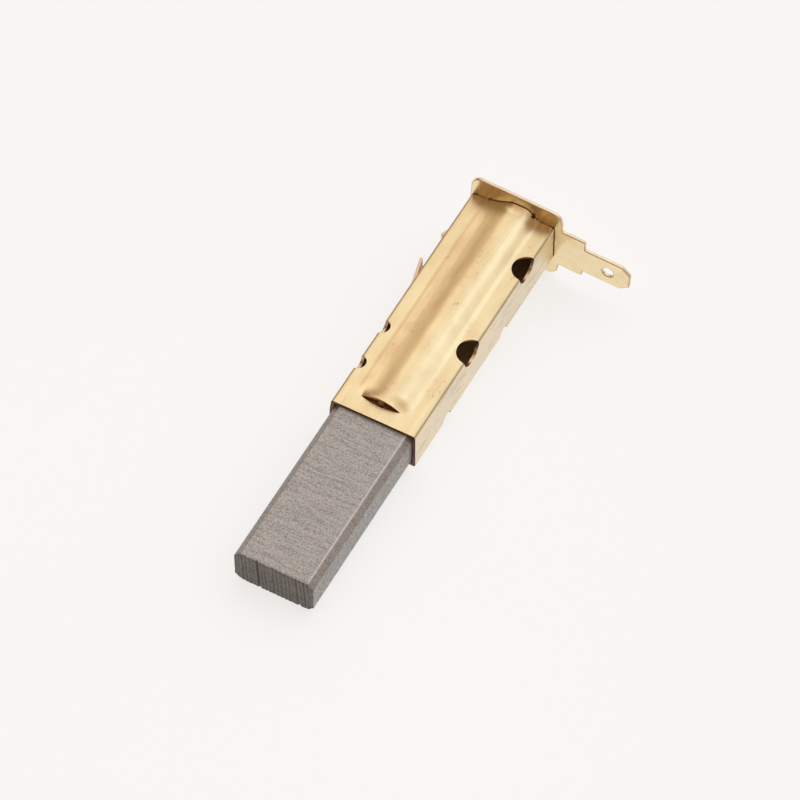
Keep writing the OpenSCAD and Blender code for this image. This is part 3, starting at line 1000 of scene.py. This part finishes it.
def stamped_piece(name, paths, thick, edge_round, materials):
    """A flat filled curve with rounded edges, stood up in the XZ plane behind y = 0."""
    curve = bpy.data.curves.new(name, "CURVE")
    curve.dimensions = "2D"
    curve.fill_mode = "BOTH"
    curve.extrude = (thick / 2 - edge_round) * MM
    curve.bevel_depth = edge_round * MM
    curve.bevel_resolution = 2
    curve.offset = -edge_round * MM
    for path in paths:
        spline = curve.splines.new("POLY")
        spline.points.add(len(path) - 1)
        for point, place in zip(spline.points, path):
            point.co = (place.x * MM, place.y * MM, 0.0, 1.0)
        spline.use_cyclic_u = True
    curve.materials.append(materials[0])
    piece = bpy.data.objects.new(name, curve)
    bpy.context.scene.collection.objects.link(piece)
    piece = freeze(piece)
    stand = Matrix.Translation((0, thick / 2 * MM, 0)) @ Matrix.Rotation(PLATE_TURN, 4, "Y")
    piece.data.transform(stand @ Matrix.Rotation(math.pi / 2, 4, "X"))
    for material in materials[1:]:
        piece.data.materials.append(material)
    # the rounded band gets the finish with the painted dark reflection
    for face in piece.data.polygons:
        flatness = abs(face.normal.y)
        face.material_index = 0 if flatness > FACE_TILT else 2 if flatness > BAND_TILT else 1
    return piece


plate_finishes = [finish["plate"], finish["rim"], finish["bevel"]]
plate = stamped_piece("end_plate", stamping, PLATE_T, EDGE_ROUND, plate_finishes)
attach(plate, "holder")
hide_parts("terminal_plate")

# %% [markdown]
# ## The carbon
# The block is pressed, sawn and chamfered. Its contact end has ribs, which wear away fast
# while the brush beds in. A grid over the contact end, whose columns follow the chamfers,
# shares its border with rings along the block, so ribs, chamfers and crumbled edges are
# all real surface. The grooves come first: no two are the same distance apart or equally
# deep, and one is deeper than the rest.

# %% Grooves of the contact end
CARBON_HALF_W = carbon_high.x
CARBON_HALF_H = carbon_high.z - 0.04
CHAMFER = 0.9
EDGE_SOFTNESS = 0.09
RIB_PITCH = 1.15
RIB_DEPTH = 0.16
RIB_COUNT = 9
RIB_LEAN = -0.05
dice = random.Random(11)
grooves = [
    (
        n * RIB_PITCH / 2 + dice.uniform(-0.09, 0.09),
        RIB_DEPTH * dice.uniform(0.3, 0.8) * (1.0 if n % 2 == 0 else 0.55),
        RIB_LEAN + dice.uniform(-0.03, 0.03),
    )
    for n in range(-RIB_COUNT, RIB_COUNT + 1)
]
DEEPEST = 5
grooves[DEEPEST] = (grooves[DEEPEST][0], RIB_DEPTH * 1.2, RIB_LEAN)


def groove_depth(x, z):
    """Depth of the contact end's grooves at a point: a sharp left side and a slow right side."""
    depth = 0.0
    for middle, deepest, lean in grooves:
        off = x - middle - lean * z
        share = 1 + off / 0.12 if off < 0 else 1 - off / 0.4
        depth = max(depth, deepest * share)
    return depth


def beside_grooves(x, z, offset, width):
    """Up to 1 near a line that runs along each groove at an offset, weighted with its depth."""
    share = 0.0
    for middle, deepest, lean in grooves:
        off = x - middle - lean * z - offset
        share = max(share, deepest / RIB_DEPTH * math.exp(-((off / width) ** 2)))
    return min(1.0, share)


print(f"{len(grooves)} grooves, the deepest {grooves[DEEPEST][1]:.2f} mm")

# %% [markdown]
# The next functions say where the block isn't plain carbon: painted shade in the grooves
# and along the end's borders, a painted highlight on the upper chamfers' edges, and copper
# powder that was spilt when the braid was tamped in. One gives the chamfered section, and
# one wears the edges away.

# %% Painted shade, painted highlight and worn edges
powder_low, powder_high = box_mm("shunt_tamping")
powder_middle = (powder_low + powder_high) / 2


def painted_end_shade(x, z):
    """Painted shade of the contact end: in the grooves, and along its borders."""
    to_edge = min(CARBON_HALF_W + x, carbon_top(x) - abs(z))
    border = 0.55 * math.exp(-((to_edge / 0.3) ** 2))
    return max(beside_grooves(x, z, 0.0, 0.08), border)


def painted_highlight(x, z):
    """Painted highlight on the edges of the two upper chamfers: strong on the right, faint on the left."""
    edge = math.exp(-(((abs(x) - CARBON_HALF_W + CHAMFER) / 0.09) ** 2)) if z > 0 else 0.0
    return edge * (0.9 if x > 0 else 0.15)


def powder_smear(x, y, z):
    """Copper powder that was spilt on the carbon around the braid's socket."""
    far = math.hypot(x - powder_middle.x, y - powder_middle.y)
    return 0.85 * smooth_step(far, 3.2, 1.6) if z > 0 else 0.0


def carbon_top(x):
    """Half the block's height at a column, with its chamfers and their soft edges."""
    chamfered = CARBON_HALF_W + CARBON_HALF_H - CHAMFER - abs(x)
    gap = chamfered - CARBON_HALF_H
    return CARBON_HALF_H + (gap - math.sqrt(gap * gap + EDGE_SOFTNESS**2)) / 2


def crumble(point, edge_distance):
    """How far an edge has crumbled away at a point."""
    rough = noise.noise(Vector(point) * 1.7)
    chip = max(0.0, noise.noise(Vector(point) * 0.8 + Vector((3, 5, 1))) - 0.25)
    near = max(0.0, 1 - edge_distance / 0.3)
    return near * near * (0.03 + 0.03 * rough + 0.4 * chip)


print(f"half height {carbon_top(0):.2f} mm in the middle, {carbon_top(CARBON_HALF_W):.2f} mm at the sides")

# %% [markdown]
# The contact end is a grid of points, and its border is a closed ring of them. Rings of
# the same points, each a little further back, make the long sides.

# %% Points and faces of the block
ACROSS_COUNT, UP_COUNT = 156, 26
RING_STEP = 0.3
FIRST_RING = 0.5
END_MARGIN = 0.6  # length without rings: the first gap, and a little at the rear


def front_point(x, share):
    z = share * carbon_top(x)
    rim = min(CARBON_HALF_W - abs(x), (1 - abs(share)) * carbon_top(x))
    rough = 0.02 * noise.noise(Vector((x, 9, z)) * 3)
    return (x, carbon_low.y + groove_depth(x, z) + crumble((x, 0, z), rim) + rough, z)


def side_point(x, z, y):
    """A point of the block's long sides, with saw lines across and crumbled chamfer edges."""
    flat = abs(x) < CARBON_HALF_W - CHAMFER
    saw = 0.5 + 0.5 * math.sin(y * 2 * math.pi / 0.72 + 1.5 * noise.noise(Vector((x * 0.4, y * 0.5, z))))
    lines = 0.014 * saw * max(0.0, 0.4 + noise.noise(Vector((x * 0.2, y * 0.3, 4)))) if flat else 0.0
    worn = lines + 0.008 * (1 + noise.noise(Vector((x, y, z)) * 2.2))
    inward = Vector((-x / CARBON_HALF_W * 0.5, 0.0, -math.copysign(1, z) if flat else 0.0)).normalized()
    return Vector((x, y, z)) + inward * worn


xs = [CARBON_HALF_W * (2 * n / ACROSS_COUNT - 1) for n in range(ACROSS_COUNT + 1)]
shares = [2 * n / UP_COUNT - 1 for n in range(UP_COUNT + 1)]
carbon_points = [front_point(x, share) for x in xs for share in shares]
row = UP_COUNT + 1
carbon_faces = [
    (i * row + j, (i + 1) * row + j, (i + 1) * row + j + 1, i * row + j + 1)
    for i in range(ACROSS_COUNT) for j in range(UP_COUNT)
]
end_face_count = len(carbon_faces)
end_point_count = len(carbon_points)
border = [i * row for i in range(ACROSS_COUNT)] + [ACROSS_COUNT * row + j for j in range(UP_COUNT)]
border += [i * row + UP_COUNT for i in range(ACROSS_COUNT, 0, -1)] + [j for j in range(UP_COUNT, 0, -1)]
ring_count = int((carbon_high.y - carbon_low.y - END_MARGIN) / RING_STEP)
ring_ys = [carbon_low.y + FIRST_RING + RING_STEP * n for n in range(ring_count)] + [carbon_high.y]
previous = border
for y in ring_ys:
    first = len(carbon_points)
    carbon_points += [tuple(side_point(carbon_points[i][0], carbon_points[i][2], y)) for i in border]
    ring = [first + n for n in range(len(border))]
    carbon_faces += [
        (previous[n], ring[n], ring[(n + 1) % len(ring)], previous[(n + 1) % len(ring)])
        for n in range(len(ring))
    ]
    previous = ring
carbon_faces.append(tuple(reversed(previous)))
print(f"{len(ring_ys)} rings of {len(border)} points behind an end of {end_point_count} points")

# %% [markdown]
# The block lies a little to the left in its tube, because there is play around it. Faces
# get their finish by where they are, and points get the numbers that the finish reads.

# %% Make the carbon
CARBON_SHIFT = -0.02
carbon_points = [(x + CARBON_SHIFT, y, z) for x, y, z in carbon_points]
carbon = mesh_piece(
    "carbon", carbon_points, carbon_faces, [finish["carbon"], finish["carbon end with painted shade"], finish["chamfer"]]
)
for number, face in enumerate(carbon.data.polygons):
    chamfered = min(abs(face.normal.x), abs(face.normal.z)) > 0.4
    # the contact end gets the darker copy of the carbon, as painted shade
    face.material_index = 1 if number < end_face_count else 2 if chamfered else 0
end_places = [(x, share * carbon_top(x)) for x in xs for share in shares]
# painted shade in the grooves and along the end's borders
end_shade = [painted_end_shade(x, z) for x, z in end_places] + [0.0] * (len(carbon_points) - end_point_count)
# painted highlight on the rib fronts beside the grooves
shine = [0.8 * beside_grooves(x, z, 0.2, 0.08) for x, z in end_places]
shine += [painted_highlight(x - CARBON_SHIFT, z) for x, y, z in carbon_points[end_point_count:]]
add_values(carbon, "groove", end_shade)
add_values(carbon, "painted_highlight", shine)
add_values(carbon, "smear", [powder_smear(*point) for point in carbon_points])
carbon = freeze(carbon, 30.0)
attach(carbon, "carbon")
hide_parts("carbon_block")

# %% [markdown]
# ## Spring and braid by geometry nodes
# Both are wires that follow a rule. The spring is a helix whose end turns lie close
# together. The braid is a set of strands that wind around one path, half of them each
# way. Each tree has named inputs, ends by giving the wire its material, and is turned
# into a plain mesh.

# %% Geometry tree helpers


def geometry_tree(name, inputs):
    """A geometry tree with named number inputs, its inputs' sockets and its last socket."""
    tree = bpy.data.node_groups.new(name, "GeometryNodeTree")
    tree.interface.new_socket("Geometry", in_out="INPUT", socket_type="NodeSocketGeometry")
    for label, value in inputs.items():
        kind = "NodeSocketInt" if isinstance(value, int) else "NodeSocketFloat"
        tree.interface.new_socket(label, in_out="INPUT", socket_type=kind).default_value = value
    tree.interface.new_socket("Geometry", in_out="OUTPUT", socket_type="NodeSocketGeometry")
    return tree, add_node(tree, "NodeGroupInput").outputs, add_node(tree, "NodeGroupOutput").inputs[0]


def run_tree(name, tree, start_points, values, material):
    """Runs a tree on a line through the start points and freezes what it makes."""
    line = [(n, n + 1) for n in range(len(start_points) - 1)]
    mesh = bpy.data.meshes.new(name)
    mesh.from_pydata([tuple(v * MM for v in p) for p in start_points], line, [])
    mesh.materials.append(material)
    piece = bpy.data.objects.new(name, mesh)
    modifier = piece.modifiers.new("shape", "NODES")
    modifier.node_group = tree
    sockets = {item.name: item.identifier for item in tree.interface.items_tree if item.in_out == "INPUT"}
    for label, value in values.items():
        modifier[sockets[label]] = value
    bpy.context.scene.collection.objects.link(piece)
    return freeze(piece, 180.0)


def wire_mesh(tree, curve, radius, sides, material):
    """A round wire along a curve, as plain mesh with its material."""
    profile = add_node(tree, "GeometryNodeCurvePrimitiveCircle", {"Resolution": sides, "Radius": radius})
    tube = add_node(
        tree, "GeometryNodeCurveToMesh",
        {"Curve": curve, "Profile Curve": profile.outputs["Curve"], "Fill Caps": True},
    ).outputs["Mesh"]
    real = add_node(tree, "GeometryNodeRealizeInstances", {"Geometry": tube}).outputs["Geometry"]
    return add_node(
        tree, "GeometryNodeSetMaterial", {"Geometry": real, "Material": material}
    ).outputs["Geometry"]


# %% [markdown]
# The spring's tree works out from each point's number how far round and how far along
# the wire has come. A closed end turn advances by one thickness of the wire, and the
# open turns share the length that is left.

# %% The spring
spring_low, spring_high = box_mm("brush_spring")
SPRING_WIRE = 0.5
SPRING_OPEN, SPRING_CLOSED = 11, 1
SPRING_STEPS = 40


def spring_tree():
    """A compression spring along Y. The angle and the advance both follow from the point's number."""
    inputs = {"Radius": 0.0025, "Wire radius": 0.00025, "Start": 0.0, "End": 0.03}
    inputs |= {"Open turns": SPRING_OPEN, "Closed turns": SPRING_CLOSED, "Steps a turn": SPRING_STEPS}
    tree, given, result = geometry_tree("compression spring", inputs)
    turns = calc(tree, "MULTIPLY_ADD", given["Closed turns"], 2.0, given["Open turns"])
    count = calc(tree, "MULTIPLY_ADD", turns, given["Steps a turn"], 1.0)
    line = add_node(tree, "GeometryNodeMeshLine", {"Count": count}).outputs["Mesh"]
    curve = add_node(tree, "GeometryNodeMeshToCurve", {"Mesh": line}).outputs["Curve"]
    turn = calc(tree, "DIVIDE", add_node(tree, "GeometryNodeInputIndex").outputs[0], given["Steps a turn"])
    angle = calc(tree, "MULTIPLY", turn, 2 * math.pi)
    wire = calc(tree, "MULTIPLY", given["Wire radius"], 2.0)
    closed = calc(tree, "MULTIPLY", given["Closed turns"], wire)
    whole = calc(tree, "SUBTRACT", given["End"], given["Start"])
    room = calc(tree, "SUBTRACT", whole, calc(tree, "MULTIPLY", closed, 2.0))
    pitch = calc(tree, "DIVIDE", room, given["Open turns"])
    first = calc(tree, "MINIMUM", turn, given["Closed turns"])
    past_first = calc(tree, "MAXIMUM", calc(tree, "SUBTRACT", turn, given["Closed turns"]), 0.0)
    opened = calc(tree, "MINIMUM", past_first, given["Open turns"])
    last = calc(tree, "SUBTRACT", past_first, opened)
    advance = calc(tree, "MULTIPLY_ADD", calc(tree, "ADD", first, last), wire, given["Start"])
    y = calc(tree, "MULTIPLY_ADD", opened, pitch, advance)
    x = calc(tree, "MULTIPLY", calc(tree, "SINE", angle), given["Radius"])
    z = calc(tree, "MULTIPLY", calc(tree, "COSINE", angle), given["Radius"])
    place = add_node(tree, "ShaderNodeCombineXYZ", {"X": x, "Y": y, "Z": z}).outputs[0]
    coil = add_node(tree, "GeometryNodeSetPosition", {"Geometry": curve, "Position": place}).outputs[0]
    tree.links.new(wire_mesh(tree, coil, given["Wire radius"], 12, finish["spring"]), result)
    return tree


spring_values = {
    "Radius": (spring_high.x - SPRING_WIRE / 2) * MM,
    "Wire radius": SPRING_WIRE / 2 * MM,
    "Start": (spring_low.y + SPRING_WIRE / 2) * MM,
    "End": (spring_high.y - SPRING_WIRE / 2) * MM,
}
spring = run_tree("spring", spring_tree(), [(0, 0, 0)], spring_values, finish["spring"])
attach(spring, "holder")
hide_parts("brush_spring")
print(f"spring: {SPRING_OPEN} open turns over {spring_high.y - spring_low.y:.1f} mm")

# %% [markdown]
# The braid starts in the carbon, turns once and runs down the channel to the plate, where
# it is welded on. Its path repeats the CAD wire's: up, one bend and straight back.

# %% The braid's path
wire_high = box_mm("shunt_wire")[1]
BRAID_D = 1.1
BRAID_BEND = 0.9
STRANDS, STRAND_D = 16, 0.17
BRAID_LAY = 4.2  # length over which a strand goes once round
BRAID_STEP = 0.13
braid_x, braid_y = powder_middle.x, powder_middle.y
braid_z = carbon_high.z + 0.03 + BRAID_D / 2
braid_path = [(braid_x, braid_y, powder_low.z + 0.1)]
for n in range(9):
    angle = math.radians(90 * n / 8)
    braid_path.append((
        braid_x,
        braid_y + BRAID_BEND * (1 - math.cos(angle)),
        braid_z - BRAID_BEND + BRAID_BEND * math.sin(angle),
    ))
FOOT_GAP = 0.35
braid_path.append((braid_x, wire_high.y - FOOT_GAP, braid_z))
print(f"braid path of {len(braid_path)} points, {wire_high.y - braid_y:.1f} mm along the holder")

# %% [markdown]
# The tree copies the path once for each strand and moves every point of a copy sideways.
# How far round it goes depends on the length behind it and on the strand's number. Odd
# strands wind the other way, and a wave in their distance from the middle makes them pass
# over and under each other.

# %% The braid's tree


def stored(tree, geometry, label, value, data_type, domain):
    """The geometry with a value stored on it under a name."""
    inputs = {"Geometry": geometry, "Name": label, "Value": value}
    kind = {"data_type": data_type, "domain": domain}
    return add_node(tree, "GeometryNodeStoreNamedAttribute", inputs, **kind).outputs["Geometry"]


def braid_tree():
    """Strands around a path. Every other strand winds the other way, and they weave in and out."""
    inputs = {"Radius": 0.0005, "Strand radius": 0.0001, "Strands": 16, "Lay": 0.004, "Step": 0.00012}
    tree, given, result = geometry_tree("braided wire", inputs)
    source = add_node(tree, "GeometryNodeMeshToCurve", {"Mesh": given["Geometry"]}).outputs["Curve"]
    stepped = {"Curve": source, "Length": given["Step"]}
    path = add_node(tree, "GeometryNodeResampleCurve", stepped, mode="LENGTH")
    tangent = add_node(tree, "GeometryNodeInputTangent").outputs[0]
    across_path = {0: tangent, 1: (1.0, 0.0, 0.0)}
    normal = add_node(tree, "ShaderNodeVectorMath", across_path, operation="CROSS_PRODUCT").outputs[0]
    kept = path.outputs["Curve"]
    length = add_node(tree, "GeometryNodeSplineParameter").outputs["Length"]
    for data_type, value, label in (("FLOAT_VECTOR", normal, "side"), ("FLOAT", length, "run")):
        kept = stored(tree, kept, label, value, data_type, "POINT")
    copies = {"Geometry": kept, "Amount": given["Strands"]}
    many = add_node(tree, "GeometryNodeDuplicateElements", copies, domain="SPLINE").outputs
    strand_of = many["Duplicate Index"]
    numbered = stored(tree, many["Geometry"], "strand", strand_of, "FLOAT", "CURVE")
    read = {
        label: add_node(tree, "GeometryNodeInputNamedAttribute", {"Name": label}, data_type=kind).outputs[0]
        for label, kind in (("side", "FLOAT_VECTOR"), ("run", "FLOAT"), ("strand", "FLOAT"))
    }
    parity = calc(tree, "MODULO", read["strand"], 2.0)
    way = calc(tree, "MULTIPLY_ADD", parity, -2.0, 1.0)
    wound = calc(tree, "MULTIPLY", calc(tree, "DIVIDE", read["run"], given["Lay"]), 2 * math.pi)
    even = calc(tree, "SUBTRACT", read["strand"], parity)
    start = calc(tree, "DIVIDE", calc(tree, "MULTIPLY", even, 2 * math.pi), given["Strands"])
    angle = calc(tree, "MULTIPLY_ADD", wound, way, start)
    crossings = calc(tree, "MULTIPLY", calc(tree, "DIVIDE", given["Strands"], 2.0), wound)
    phase = calc(tree, "MULTIPLY_ADD", parity, math.pi, crossings)
    weave = calc(tree, "MULTIPLY", calc(tree, "SINE", phase), given["Strand radius"])
    core = calc(tree, "MULTIPLY_ADD", given["Strand radius"], -2.0, given["Radius"])
    reach = calc(tree, "ADD", core, weave)
    shift = calc(tree, "MULTIPLY", calc(tree, "COSINE", angle), reach)
    sideways = {0: read["side"], "Scale": shift}
    along_side = add_node(tree, "ShaderNodeVectorMath", sideways, operation="SCALE").outputs[0]
    across = calc(tree, "MULTIPLY", calc(tree, "SINE", angle), reach)
    along_x = add_node(tree, "ShaderNodeCombineXYZ", {"X": across}).outputs[0]
    offset = add_node(tree, "ShaderNodeVectorMath", {0: along_side, 1: along_x}, operation="ADD").outputs[0]
    placed = {"Geometry": numbered, "Offset": offset}
    strands = add_node(tree, "GeometryNodeSetPosition", placed).outputs[0]
    tree.links.new(wire_mesh(tree, strands, given["Strand radius"], 6, finish["braid"]), result)
    return tree


# %% [markdown]
# The tree takes its sizes in metres. The braid rides with the holder, because its rear
# end is welded there.

# %% Make the braid
braid_values = {
    "Radius": BRAID_D / 2 * MM,
    "Strand radius": STRAND_D / 2 * MM,
    "Strands": STRANDS,
    "Lay": BRAID_LAY * MM,
    "Step": BRAID_STEP * MM,
}
braid = run_tree("braid", braid_tree(), braid_path, braid_values, finish["braid"])
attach(braid, "holder")
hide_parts("shunt_wire")

# %% [markdown]
# The tamped powder keeps its CAD shape, a small round plug, and only gets its finish.

# %% Dress the tamped powder
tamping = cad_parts["shunt_tamping"]
tamping.data.materials.clear()
tamping.data.materials.append(finish["powder"])
print(f"{tamping.name}: {finish['powder'].name}")

# %% [markdown]
# The spring and the braid each get a mesh of their own.

# %% Own meshes for the spring and the braid
for piece, length in ((spring, -spring_low.y), (braid, -braid_y)):
    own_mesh(piece)

# %% [markdown]
# ## Floor, world and light
# The brush lies on a pale table whose glow is seen only by the camera and in reflections,
# so it puts no light on the object and keeps the shadow. The light comes from a tent with
# its bright opening above and behind the brush. A warm dim band runs round the tent below
# the opening and near the horizon, because bright metal needs something darker to show
# its form. One wide panel from the upper left gives the shadows a side.

# %% Floor
FLOOR_HALF = 3000.0
FLOOR_GAP = 0.02
FLOOR_GLOW = 0.725
rest_rear = Vector((plate_low.y, plate_low.z))
rest_front = Vector((carbon_low.y, carbon_low.z))
floor_slope = (rest_rear.y - rest_front.y) / (rest_rear.x - rest_front.x)


def floor_z(y):
    return rest_front.y + (y - rest_front.x) * floor_slope - FLOOR_GAP


corners = [(-1, -1), (1, -1), (1, 1), (-1, 1)]
floor = mesh_piece(
    "floor",
    [(a * FLOOR_HALF, b * FLOOR_HALF, floor_z(b * FLOOR_HALF)) for a, b in corners],
    [(0, 1, 2, 3)],
    [],
)
floor_material, floor_tree, floor_shader = new_material("light table")
faint = spread(floor_tree, noise_at(floor_tree, scaled_position(floor_tree, 1.0, 1.0, 1.0), 4.0), 0.3, 0.7)
floor_tree.links.new(
    blend_colour(floor_tree, faint, (0.29, 0.29, 0.29), (0.31, 0.31, 0.31)), floor_shader.inputs["Base Color"]
)
floor_shader.inputs["Roughness"].default_value = 0.8
floor_shader.inputs["Specular IOR Level"].default_value = 0.2
floor_shader.inputs["Emission Color"].default_value = (1.0, 1.0, 1.0, 1.0)
ray = add_node(floor_tree, "ShaderNodeLightPath").outputs
seen_or_reflected = calc(floor_tree, "ADD", ray["Is Camera Ray"], ray["Is Glossy Ray"])
seen = calc(floor_tree, "ADD", seen_or_reflected, ray["Is Transmission Ray"], clamp=True)
floor_tree.links.new(calc(floor_tree, "MULTIPLY", seen, FLOOR_GLOW), floor_shader.inputs["Emission Strength"])
floor.data.materials.append(floor_material)
print(f"floor tilt {math.degrees(math.atan(floor_slope)):.2f} degrees")

# %% [markdown]
# The world is the tent. Its colour depends only on how near a direction is to the
# tent's opening, from straight behind it at -1 to its middle at 1. It fades towards the
# horizon.

# %% World
world = bpy.data.worlds.new("light tent")
bpy.context.scene.world = world
world.use_nodes = True
sky = world.node_tree
TENT_LEVELS = (  # nearness to the opening, colour
    (-0.45, (0.92, 0.82, 0.72)),
    (-0.30, (0.80, 0.69, 0.58)),
    (-0.13, (0.12, 0.06, 0.025)),
    (0.23, (0.25, 0.125, 0.042)),
    (0.46, (0.74, 0.56, 0.45)),
    (0.70, (0.83, 0.71, 0.63)),
    (0.85, (0.92, 0.875, 0.84)),
    (0.97, (1.15, 1.20, 1.30)),
)
TENT_OPENING = Vector((0.25, 0.62, 0.745))
direction = add_node(sky, "ShaderNodeTexCoord").outputs["Generated"]
nearness = add_node(
    sky, "ShaderNodeVectorMath", {0: direction, 1: TENT_OPENING.normalized()}, operation="DOT_PRODUCT"
).outputs["Value"]
levels = add_node(sky, "ShaderNodeValToRGB", {"Fac": spread(sky, nearness, -1.0, 1.0)})
ramp = levels.color_ramp
for n, (place, colour) in enumerate(TENT_LEVELS):
    stop = ramp.elements[n] if n < 2 else ramp.elements.new(place)
    stop.position = (place + 1) / 2
    stop.color = (*colour, 1.0)
height = add_node(sky, "ShaderNodeSeparateXYZ", {"Vector": direction}).outputs["Z"]
horizon = spread(sky, height, 0.02, 0.34, 0.15, 1.0)
sky.links.new(levels.outputs["Color"], sky.nodes["Background"].inputs["Color"])
sky.links.new(horizon, sky.nodes["Background"].inputs["Strength"])
print(f"tent: {len(TENT_LEVELS)} levels of light")

# %% [markdown]
# The one lamp is a wide panel at the upper left. The plain Standard view shows a colour
# about as it is written.

# %% Lamp
CENTRE = Vector((0.0, -30.0, 0.0))
KEY_PLACE = Vector((-900.0, 500.0, 1500.0))
KEY_SIZE = 900.0
key_lamp = bpy.data.lights.new("key panel", "AREA")
key_lamp.shape = "RECTANGLE"
key_lamp.size = key_lamp.size_y = KEY_SIZE * MM
key_lamp.energy = 1.0
key = bpy.data.objects.new("key panel", key_lamp)
key.location = KEY_PLACE * MM
key.rotation_mode = "QUATERNION"
key.rotation_quaternion = (KEY_PLACE - CENTRE).to_track_quat("Z", "Y")
bpy.context.scene.collection.objects.link(key)
bpy.context.scene.view_settings.view_transform = "Standard"
print(f"{key.name}: {key_lamp.energy:.1f} W, {(KEY_PLACE - CENTRE).length * MM:.1f} m away")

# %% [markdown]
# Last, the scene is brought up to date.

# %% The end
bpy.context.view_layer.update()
